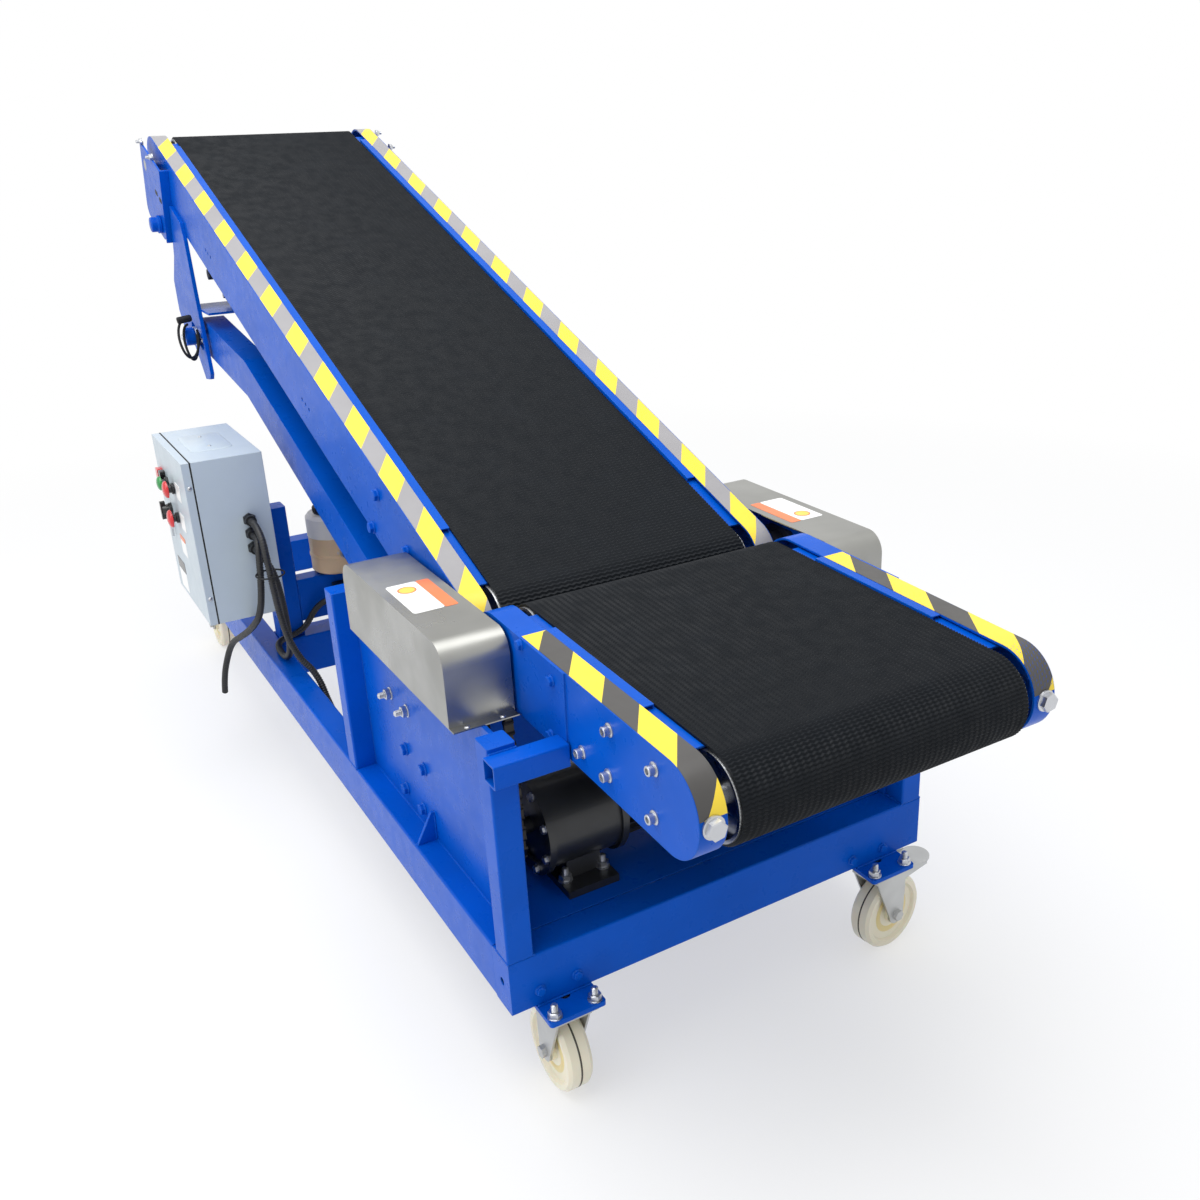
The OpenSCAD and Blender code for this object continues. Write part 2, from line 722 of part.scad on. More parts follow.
// Curved blade under the boom with a slot for the arm's upper pin
module hanger_outline() {
    difference() {
        polygon([
            [-2189, 1300], [-2089, 1262], [-2075, 1218], [-2062, 1090], [-2050, 1000], [-2030, 870],
            [-2045, 853], [-2100, 845], [-2130, 880], [-2175, 925], [-2280, 960], [-2317, 1010],
            [-2317, 1092], [-2250, 1165]
        ]);
        translate([-arm_pin_x, arm_pin_z]) rotate(-boom_slope) track(-slot_half, slot_half, arm_pin_r + 6);
    }
}

module hanger(right) {
    color("royalblue") on_side(right)
        slab_y(-boom_w / 2 - hanger_t, -boom_w / 2) hanger_outline();
}

module motor_shelf() {
    color("royalblue") translate([-head_motor_x - 105, -boom_w / 2, head_motor_z - 88 - 6])
        cube([200, boom_w, 6]);
}

module boom_gearmotor() {
    color([0.12, 0.12, 0.13]) translate([-head_motor_x, -head_chain_y + 44, head_motor_z]) {
        gearmotor(78, 62, 130, 200, 180);
        translate([-70, 20, -88]) cube([140, 90, 30]);
    }
}

// Middle line of an arm: lower pivot, bend, upper pin
ARM = [[-arm_pivot_x, arm_pivot_z], [-arm_bend_x, arm_bend_z], [-arm_pin_x, arm_pin_z]];

// Straight bar between two points with round ends
module leg(p, q, r) {
    d = q - p;
    translate(p) rotate(atan2(d[1], d[0])) track(0, norm(d), r);
}

module lift_arm(right) {
    color("royalblue") on_side(right) difference() {
        slab_y(-arm_y, -arm_y + arm_w) {
            leg(ARM[0], ARM[1], arm_h / 2);
            leg(ARM[1], ARM[2], arm_h / 2);
        }
        for (p = [ARM[0], ARM[2]])
            translate([p[0], 0, p[1]]) bar_y(-arm_y - 1, 0, arm_pin_r + gap);
    }
}

module arm_cross_tubes() {
    inner = arm_y - arm_w;
    at = (eye_x - arm_pivot_x) / (arm_bend_x - arm_pivot_x);
    p = ARM[0] + at * (ARM[1] - ARM[0]);
    color("royalblue") {
        translate([p[0], 0, p[1]]) tube_y(2 * inner, 50, 50);
        for (s = [-1, 1]) slab_y(s * cheek_y - 4, s * cheek_y + 4) difference() {
            union() {
                translate([-eye_x - 30, eye_z]) square([60, p[1] - 25 - eye_z]);
                translate([-eye_x, eye_z]) circle(30);
            }
            translate([-eye_x, eye_z]) circle(eye_pin_r + eye_play);
        }
        q = ARM[1] + 0.3 * (ARM[2] - ARM[1]);
        translate([q[0], 0, q[1]]) tube_y(2 * inner, 50, 50);
    }
}

module arm_pivot_pins() {
    color("silver") for (right = [false, true]) on_side(right)
        translate([-arm_pivot_x, 0, arm_pivot_z]) {
            bar_y(-panel_y + 3 + gap, -arm_y + arm_w + 8, arm_pin_r);
            bar_y(-panel_y + panel_t, -arm_y - gap, arm_pin_r + 8);
        }
}

module arm_upper_pins() {
    outer = boom_w / 2 + hanger_t;
    color("silver") for (right = [false, true]) on_side(right)
        translate([-arm_pin_x, 0, arm_pin_z]) {
            bar_y(-outer - 8, -arm_y + arm_w + 6, arm_pin_r);
            bar_y(-outer - 8, -outer - 1, arm_pin_r + 11);
        }
}

// Foot of the lift cylinder: two cheeks and a pin on the front cross tube
module cylinder_foot() {
    color("royalblue") translate([-foot_x, 0, 0]) for (s = [-1, 1])
        slab_y(s * cheek_y - 4, s * cheek_y + 4) {
            translate([-28, base_top]) square([56, foot_z - base_top]);
            translate([0, foot_z]) circle(28);
        }
    color("silver") translate([-foot_x, 0, foot_z]) bar_y(-cheek_y - 12, cheek_y + 12, eye_pin_r + 2);
}

module in_cylinder() {
    lean = atan2(eye_z - foot_z, eye_x - foot_x);
    translate([-foot_x, 0, foot_z]) rotate([0, lean, 0]) children();
}

module cylinder_barrel() {
    lug = cheek_y - 5;
    color("royalblue") in_cylinder() difference() {
        union() {
            bar_y(-lug, lug, 26);
            translate([-34, 0, 0]) rotate([0, -90, 0]) cylinder(r = barrel_r, h = barrel_l - 34);
            translate([-barrel_l + 30, 0, 0]) rotate([0, -90, 0]) cylinder(r = barrel_r + 5, h = 30);
            translate([-60, -lug, -18]) cube([60, 2 * lug, 36]);
        }
        bar_y(-lug - 1, lug + 1, eye_pin_r + 2 + gap);
        translate([-90, 0, 0]) rotate([0, -90, 0]) cylinder(r = rod_r + gap, h = barrel_l);
    }
}

module cylinder_rod() {
    reach = norm([eye_x - foot_x, eye_z - foot_z]);
    lug = cheek_y - 5;
    head = cheek_y + 5;
    color("silver") in_cylinder() {
        translate([-190, 0, 0]) rotate([0, -90, 0]) cylinder(r = rod_r, h = reach - 190 - 10);
        translate([-reach, 0, 0]) {
            bar_y(-lug, lug, 25);
            bar_y(-head - 6, head + 6, eye_pin_r);
            for (s = [-1, 1]) translate([0, s * (head + 3), 0]) bar_y(-3, 3, eye_pin_r + 15);
        }
    }
}

module caster_fork(i) {
    c = CASTERS[i];
    top = base_z - pad_t - top_plate_t - 6 - floor_play;
    axle_z = wheel_d / 2;
    leg_y = wheel_w / 2 + 4;
    color("silver") translate([c[0], c[1], 0]) rotate([0, 0, c[2]]) {
        translate([0, 0, top - 6]) cylinder(r = 28, h = 6);
        translate([0, 0, top - 6]) cylinder(r = 6.5, h = 12 + floor_play + top_plate_t);
        translate([-32, -leg_y - 4, top - 10]) cube([trail + 54, 2 * leg_y + 8, 4]);
        for (s = [-1, 1]) slab_y(s * (leg_y + 2) - 2, s * (leg_y + 2) + 2) {
            polygon([[-30, top - 8], [trail + 22, top - 8], [trail + 19, axle_z], [trail - 19, axle_z]]);
            translate([trail, axle_z]) circle(19);
            if (c[3]) polygon([[trail, top - 8], [trail + 30, top - 8], [pedal_x, top - 22],
                               [pedal_x, top - 28], [trail + 15, top - 32]]);
        }
        translate([trail, 0, axle_z]) {
            bar_y(-leg_y - 12, leg_y + 12, 7);
            for (s = [-1, 1]) translate([0, s * (leg_y + 8), 0]) rotate([90, 0, 0])
                cylinder(r = 11, h = 8, center = true, $fn = 6);
        }
        if (c[3]) translate([0, 0, top - 26]) linear_extrude(4) {
            translate([pedal_x - 30, -pedal_r]) square([30, 2 * pedal_r]);
            translate([pedal_x, 0]) circle(pedal_r);
        }
    }
}

module caster_wheel(i) {
    c = CASTERS[i];
    r = wheel_d / 2;
    w = wheel_w / 2;
    color("ivory") translate([c[0], c[1], 0]) rotate([0, 0, c[2]])
        translate([trail, 0, r]) rotate([90, 0, 0]) rotate_extrude($fn = 64)
        polygon([
            [7 + gap, -w - 3], [20, -w - 3], [20, -w + 6], [r - 18, -w + 6], [r - 14, -w], [r - 5, -w],
            [r, -w + 6], [r, w - 6], [r - 5, w], [r - 14, w], [r - 18, w - 6], [20, w - 6],
            [20, w + 3], [7 + gap, w + 3]
        ]);
}

// Round tube swept along the points of a route, eight sides
function unit(v) = v / norm(v);
function heading(p, i) = unit(p[min(i + 1, len(p) - 1)] - p[max(i - 1, 0)]);
module swept(p, d) {
    sides = 8;
    rings = [for (i = [0:len(p) - 1])
        let (t = heading(p, i), up = abs(t[1]) < 0.8 ? [0, 1, 0] : [0, 0, 1],
             a = unit(cross(t, up)), b = cross(a, t))
        for (k = [0:sides - 1]) p[i] + d / 2 * (cos(k * 360 / sides) * a + sin(k * 360 / sides) * b)];
    last = (len(p) - 1) * sides;
    polyhedron(rings, concat(
        [[for (k = [0:sides - 1]) k]],
        [for (i = [0:len(p) - 2], k = [0:sides - 1])
            [i * sides + (k + 1) % sides, i * sides + k, (i + 1) * sides + k,
             (i + 1) * sides + (k + 1) % sides]],
        [[for (k = [sides - 1:-1:0]) last + k]]
    ));
}

module conduit_long() {
    color([0.07, 0.07, 0.08]) swept(LONG_CONDUIT, conduit_d);
}

module conduit_tail() {
    color([0.07, 0.07, 0.08]) swept(TAIL_CONDUIT, conduit_d);
}

module conduit_pump() {
    color([0.07, 0.07, 0.08]) swept(PUMP_CONDUIT, conduit_d);
}

module power_hose() {
    color([0.07, 0.07, 0.08]) swept(HOSE_ROUTE, hose_d);
}

seat() {
    base_rail(false);  // base_rail_left
    base_rail(true);  // base_rail_right
    base_cross_tubes();
    caster_pads();
    caster_top_plates();
    side_frame(false);  // side_frame_left
    side_frame(true);  // side_frame_right
    shaft_bearings();
    feed_side(false);  // feed_side_left
    feed_side(true);  // feed_side_right
    feed_bed();
    feed_belt();
    feed_drums();
    drive_cover(false);  // drive_cover_left
    drive_cover(true);  // drive_cover_right
    feed_motor_plate();
    feed_gearmotor();
    feed_chain_drive();
    control_posts();
    control_cabinet();
    cable_glands();
    cabinet_door();
    door_controls();
    power_unit();
    boom_side(false);  // boom_side_left
    boom_side(true);  // boom_side_right
    boom_bed();
    boom_belt();
    boom_drums();
    head_brackets();
    hanger(false);  // hanger_left
    hanger(true);  // hanger_right
    motor_shelf();
    boom_gearmotor();
    lift_arm(false);  // lift_arm_left
    lift_arm(true);  // lift_arm_right
    arm_cross_tubes();
    arm_pivot_pins();
    arm_upper_pins();
    cylinder_foot();
    cylinder_barrel();
    cylinder_rod();
    for (i = [0:3]) {
        caster_fork(i);
        caster_wheel(i);
    }
    conduit_long();
    conduit_tail();
    conduit_pump();
    power_hose();
}
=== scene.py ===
"""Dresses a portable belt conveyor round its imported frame: finishes, belts, tape, fasteners and cords."""
import logging
import math
from collections.abc import Callable, Iterable, Sequence
from dataclasses import dataclass, field
from enum import Enum

import bmesh
import bpy
from mathutils import Matrix, Vector


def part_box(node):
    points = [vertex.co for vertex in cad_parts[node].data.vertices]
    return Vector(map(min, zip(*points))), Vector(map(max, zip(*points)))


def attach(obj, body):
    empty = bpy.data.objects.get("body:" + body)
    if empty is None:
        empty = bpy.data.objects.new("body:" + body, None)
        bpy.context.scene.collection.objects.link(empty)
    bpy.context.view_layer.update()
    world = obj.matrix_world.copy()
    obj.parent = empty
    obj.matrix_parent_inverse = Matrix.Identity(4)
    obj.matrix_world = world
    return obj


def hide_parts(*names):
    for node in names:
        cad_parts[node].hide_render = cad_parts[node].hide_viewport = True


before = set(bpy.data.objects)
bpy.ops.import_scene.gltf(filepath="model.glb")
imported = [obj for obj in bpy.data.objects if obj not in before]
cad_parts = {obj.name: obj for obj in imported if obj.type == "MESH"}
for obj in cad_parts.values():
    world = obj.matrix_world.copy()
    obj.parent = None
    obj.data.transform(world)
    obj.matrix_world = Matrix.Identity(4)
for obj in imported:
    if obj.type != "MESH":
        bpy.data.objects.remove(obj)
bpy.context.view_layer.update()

MM = 0.001
IMAGE = 1200
log = logging.getLogger("belt_conveyor")

Point = tuple[float, float, float]
Flat = tuple[float, float]


def base_place() -> Matrix:
    """Place of the base's frame: front face of the base, belt centre line, floor, in millimetres.

    Returns:
        The matrix from that frame to the part's frame in metres.
    """
    low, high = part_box("base_cross_tubes")
    return Matrix.Translation((high.x, (low.y + high.y) / 2, 0)) @ Matrix.Scale(MM, 4)


def tilted(x: float, z: float, degrees: float) -> Matrix:
    """Place of a frame turned about y.

    Args:
        x: Where its origin lies along the base.
        z: Height of its origin.
        degrees: How far its +x end is turned down.

    Returns:
        The matrix from that frame to the part's frame.
    """
    return BASE @ Matrix.Translation((x, 0, z)) @ Matrix.Rotation(math.radians(degrees), 4, "Y")


BASE = base_place()
FEED = tilted(375, 700, 1.8) @ Matrix.Translation((-375, 0, 0))
BOOM = tilted(-374, 703, 19.4)
STILL = Matrix.Identity(4)


def facing(point: Sequence[float], direction: Sequence[float], turn: float = 0) -> Matrix:
    """Matrix that stands a piece's own z axis along a direction.

    Args:
        point: Where its origin goes.
        direction: Where its z axis points.
        turn: Degrees that it is turned round that axis.

    Returns:
        The matrix.
    """
    look = Vector(direction).to_track_quat("Z", "Y").to_matrix().to_4x4()
    return Matrix.Translation(point) @ look @ Matrix.Rotation(math.radians(turn), 4, "Z")


def sampled(points: Sequence[Point], step: float) -> list[Vector]:
    """Smooth curve through points, in even steps.

    Args:
        points: The points that it passes through.
        step: Length of a step.

    Returns:
        The points along the curve.
    """
    knots = [Vector(p) for p in points]
    knots = [knots[0] * 2 - knots[1], *knots, knots[-1] * 2 - knots[-2]]
    fine: list[Vector] = []
    for a, b, c, d in zip(knots, knots[1:], knots[2:], knots[3:]):
        for i in range(16):
            t = i / 16
            fine.append(0.5 * (2 * b + (c - a) * t + (2 * a - 5 * b + 4 * c - d) * t * t
                               + (3 * b - a - 3 * c + d) * t * t * t))
    fine.append(knots[-2])
    even, left = [fine[0]], step
    for p, q in zip(fine, fine[1:]):
        length = (q - p).length
        while length >= left:
            p = p + (q - p) * (left / length)
            length -= left
            even.append(p)
            left = step
        left -= length
    return [*even, fine[-1]] if (even[-1] - fine[-1]).length > step / 2 else even


class Nodes:
    """Short ways to lay out one material's shader nodes."""

    def __init__(self, material: bpy.types.Material) -> None:
        """Starts an empty tree with a surface shader in it."""
        material.use_nodes = True
        self.tree = material.node_tree
        self.tree.nodes.clear()
        self.out = self.add("ShaderNodeOutputMaterial")
        self.shader = self.add("ShaderNodeBsdfPrincipled")
        self.join(self.shader.outputs["BSDF"], self.out, "Surface")
        self.where = self.add("ShaderNodeTexCoord").outputs["Object"]

    def add(self, kind: str, **values: object) -> bpy.types.Node:
        """Adds a node and sets its properties by name."""
        node = self.tree.nodes.new(kind)
        for name, value in values.items():
            setattr(node, name, value)
        return node

    def join(self, source: bpy.types.NodeSocket, node: bpy.types.Node, socket: str | int) -> None:
        """Links a source to a node's input."""
        self.tree.links.new(source, node.inputs[socket])

    def set(self, socket: str, value: object) -> None:
        """Sets a constant on the surface shader."""
        self.shader.inputs[socket].default_value = value

    def noise(self, scale: float, stretch: Point = (1, 1, 1), detail: float = 3) -> bpy.types.NodeSocket:
        """Adds noise in the piece's own frame.

        Args:
            scale: Features to the metre.
            stretch: How much finer it is along each axis.
            detail: Number of octaves.

        Returns:
            The noise's value.
        """
        mapping = self.add("ShaderNodeMapping")
        mapping.inputs["Scale"].default_value = stretch
        self.join(self.where, mapping, "Vector")
        noise = self.add("ShaderNodeTexNoise")
        noise.inputs["Scale"].default_value = scale
        noise.inputs["Detail"].default_value = detail
        self.join(mapping.outputs["Vector"], noise, "Vector")
        return noise.outputs["Fac"]

    def between(self, value: bpy.types.NodeSocket, low: float, high: float,
                start: float = 0.35, end: float = 0.65) -> bpy.types.NodeSocket:
        """Maps a value from a range on to another range."""
        node = self.add("ShaderNodeMapRange")
        for name, number in (("From Min", start), ("From Max", end), ("To Min", low), ("To Max", high)):
            node.inputs[name].default_value = number
        self.join(value, node, "Value")
        return node.outputs["Result"]

    def blend(self, value: bpy.types.NodeSocket, a: object, b: object) -> bpy.types.NodeSocket:
        """Mixes two colours, each a tuple or a socket, by a value."""
        node = self.add("ShaderNodeMix", data_type="RGBA")
        self.join(value, node, 0)
        for index, colour in ((6, a), (7, b)):
            if isinstance(colour, bpy.types.NodeSocket):
                self.join(colour, node, index)
            else:
                node.inputs[index].default_value = (*colour, 1)
        return node.outputs[2]

    def bump(self, height: bpy.types.NodeSocket, strength: float, distance: float,
             normal: bpy.types.NodeSocket | None = None) -> bpy.types.NodeSocket:
        """Adds a bump and leads it to the surface shader.

        Args:
            height: The height that it follows.
            strength: Share of the height that is used.
            distance: The greatest height in metres.
            normal: The normal that it starts from.

        Returns:
            The new normal.
        """
        node = self.add("ShaderNodeBump")
        node.inputs["Strength"].default_value = strength
        node.inputs["Distance"].default_value = distance
        self.join(height, node, "Height")
        if normal is not None:
            self.join(normal, node, "Normal")
        self.join(node.outputs["Normal"], self.shader, "Normal")
        return node.outputs["Normal"]


def linear(colour: Sequence[float], gain: float = 1) -> Point:
    """Linear value of a colour given as 0 to 255, made lighter or darker by a gain."""
    values = [(c / 255 / 12.92 if c < 11 else ((c / 255 + 0.055) / 1.055) ** 2.4) for c in colour]
    return tuple(min(v * gain, 1.0) for v in values)


@dataclass(frozen=True)
class Finish:
    """Plain finish with slightly uneven colour and gloss; the others build on it."""

    name: str
    colour: tuple[int, int, int]
    roughness: float = 0.5
    metallic: float = 0.0
    coat: float = 0.0
    mottle: float = 0.06
    grain: float = 900.0
    relief: float = 0.0001
    specular: float = 0.5

    def material(self) -> bpy.types.Material:
        """The finish's material, built once."""
        found = bpy.data.materials.get(self.name + "_finish")
        if found is None:
            found = bpy.data.materials.new(self.name + "_finish")
            nodes = Nodes(found)
            nodes.set("Metallic", self.metallic)
            nodes.set("Coat Weight", self.coat)
            nodes.set("Coat Roughness", 0.06)
            nodes.set("Specular IOR Level", self.specular)
            self.dress(nodes)
            found.diffuse_color = (*linear(self.colour), 1)
        return found

    def tone(self, nodes: Nodes) -> bpy.types.NodeSocket:
        """Uneven base colour of the finish."""
        cloud = nodes.between(nodes.noise(9), 0, 1)
        return nodes.blend(cloud, linear(self.colour, 1 - self.mottle), linear(self.colour, 1 + self.mottle))

    def gloss(self, nodes: Nodes, spread: float = 0.12) -> None:
        """Uneven roughness of the finish."""
        smear = nodes.between(nodes.noise(35), self.roughness * (1 - spread), self.roughness * (1 + spread))
        nodes.join(smear, nodes.shader, "Roughness")

    def dress(self, nodes: Nodes) -> None:
        """Lays out the finish's nodes."""
        nodes.join(self.tone(nodes), nodes.shader, "Base Color")
        self.gloss(nodes)
        nodes.bump(nodes.noise(self.grain), 0.25, self.relief)


@dataclass(frozen=True)
class Enamel(Finish):
    """Glossy sprayed paint: a painted highlight of lighter colour along the edges, soft bevelled edges, orange peel
    and a clear coat.
    """

    # Colour of the painted highlight laid along the edges.
    edge: tuple[int, int, int] = (62, 128, 232)
    edge_radius: float = 0.0022

    def dress(self, nodes: Nodes) -> None:
        """Lays out the paint's nodes."""
        bevel = nodes.add("ShaderNodeBevel", samples=4)
        bevel.inputs["Radius"].default_value = self.edge_radius
        flat = nodes.add("ShaderNodeNewGeometry").outputs["Normal"]
        dot = nodes.add("ShaderNodeVectorMath", operation="DOT_PRODUCT")
        nodes.join(bevel.outputs["Normal"], dot, 0)
        nodes.join(flat, dot, 1)
        # Lighter colour where the bevel normal turns away from the face: a painted highlight on the edges, not wear.
        painted_edge_highlight = nodes.between(dot.outputs["Value"], 0.55, 0, 0.72, 0.97)
        nodes.join(nodes.blend(painted_edge_highlight, self.tone(nodes), linear(self.edge)), nodes.shader, "Base Color")
        self.gloss(nodes)
        nodes.bump(nodes.noise(60, detail=1), 0.02, 0.0003, bevel.outputs["Normal"])


@dataclass(frozen=True)
class Brushed(Finish):
    """Sheet metal brushed along x, with wiped patches."""

    def dress(self, nodes: Nodes) -> None:
        """Lays out the metal's nodes."""
        nodes.join(self.tone(nodes), nodes.shader, "Base Color")
        lines = nodes.noise(60, (1, 45, 45), 2)
        patches = nodes.between(nodes.noise(7), self.roughness * 0.75, self.roughness * 1.5)
        nodes.join(patches, nodes.shader, "Roughness")
        nodes.bump(lines, 0.12, 0.00012)


@dataclass(frozen=True)
class Belting(Finish):
    """Black belt rubber: matt, faintly dusty, with a rough skin."""

    def dress(self, nodes: Nodes) -> None:
        """Lays out the rubber's nodes."""
        dust = nodes.between(nodes.noise(14), 0, 0.35, 0.5, 0.8)
        nodes.join(nodes.blend(dust, linear(self.colour), linear(self.colour, 1.6)), nodes.shader, "Base Color")
        self.gloss(nodes, 0.2)
        nodes.bump(nodes.noise(1400), 0.35, 0.0003)


@dataclass(frozen=True)
class Moulded(Finish):
    """Moulded plastic or nylon with a soft glow and faint flow marks."""

    glow: float = 0.0

    def dress(self, nodes: Nodes) -> None:
        """Lays out the plastic's nodes."""
        nodes.join(self.tone(nodes), nodes.shader, "Base Color")
        self.gloss(nodes)
        nodes.set("Subsurface Weight", self.glow)
        nodes.set("Subsurface Scale", 0.004)
        nodes.bump(nodes.noise(90, detail=2), 0.08, 0.0004)


# The blue paint's default edge colour is a painted highlight along its edges.
BLUE = Enamel("blue_paint", (0, 82, 188), 0.3, mottle=0.05, specular=0.1)
ZINC = Finish("zinc", (198, 200, 204), 0.3, 0.95, mottle=0.1, grain=500)
PRESSED = Finish("pressed_zinc", (186, 187, 186), 0.4, 0.75, mottle=0.12, grain=300)
IRON = Finish("bearing_iron", (62, 64, 68), 0.55, 0.3, grain=420, relief=0.0006)
RUBBER = Belting("belt_rubber", (16, 20, 25), 0.5, specular=0.14)
DRUM = Brushed("drum_steel", (176, 178, 180), 0.32, 1.0)
STAINLESS = Brushed("stainless", (160, 160, 156), 0.3, 1.0, mottle=0.06)
MOTOR = Finish("motor_black", (30, 32, 35), 0.42, coat=0.15, grain=600, relief=0.0003)
CHAIN = Finish("chain_steel", (52, 50, 48), 0.36, 0.85, mottle=0.3)
# The cabinet's edge colour is a painted highlight along its edges.
CABINET = Enamel("cabinet_grey", (184, 196, 204), 0.36, coat=0.04, mottle=0.02, edge=(226, 234, 240))
GLAND = Moulded("gland_black", (24, 25, 27), 0.42)
GASKET = Moulded("gasket_black", (16, 17, 19), 0.7)
RED = Moulded("button_plastic", (205, 26, 34), 0.22, coat=0.5)
GREEN = Moulded("button_green", (22, 140, 62), 0.22, coat=0.5)
BLACK = Moulded("switch_black", (22, 23, 25), 0.3, coat=0.3)
TANK = Moulded("tank_paint", (222, 190, 150), 0.4, glow=0.1)
TANK_WHITE = Moulded("tank_white", (232, 228, 220), 0.4)
CHROME = Finish("rod_chrome", (222, 224, 228), 0.1, 1.0, mottle=0.02)
NYLON = Moulded("wheel_nylon", (232, 224, 200), 0.34, coat=0.15, glow=0.15, mottle=0.05)
HUB = Moulded("hub_nylon", (226, 206, 146), 0.4, glow=0.1)
SEAM = Moulded("wheel_seam", (70, 64, 54), 0.6)
CONDUIT = Moulded("conduit_black", (27, 28, 30), 0.45)
TAPE_YELLOW = Moulded("tape_yellow", (246, 214, 56), 0.36, coat=0.1, mottle=0.03)
TAPE_GREY = Moulded("tape_grey", (150, 148, 150), 0.36, coat=0.1, mottle=0.04)
TAPE_DARK = Moulded("tape_dark", (72, 70, 68), 0.4, mottle=0.04)
LABEL_WHITE = Moulded("label_white", (240, 240, 238), 0.35, coat=0.2, mottle=0.02)
LABEL_ORANGE = Moulded("label_orange", (232, 120, 62), 0.35, coat=0.2)
LABEL_YELLOW = Moulded("label_yellow", (240, 200, 70), 0.35, coat=0.2)

SLOTS: dict[str, Finish] = {
    f.name: f for f in (BLUE, ZINC, IRON, RUBBER, DRUM, STAINLESS, MOTOR, CHAIN, CABINET, GLAND, RED,
                        TANK, CHROME, NYLON, CONDUIT)
}
PRESSED_NODES = ("caster_fork_", "caster_top_plates")


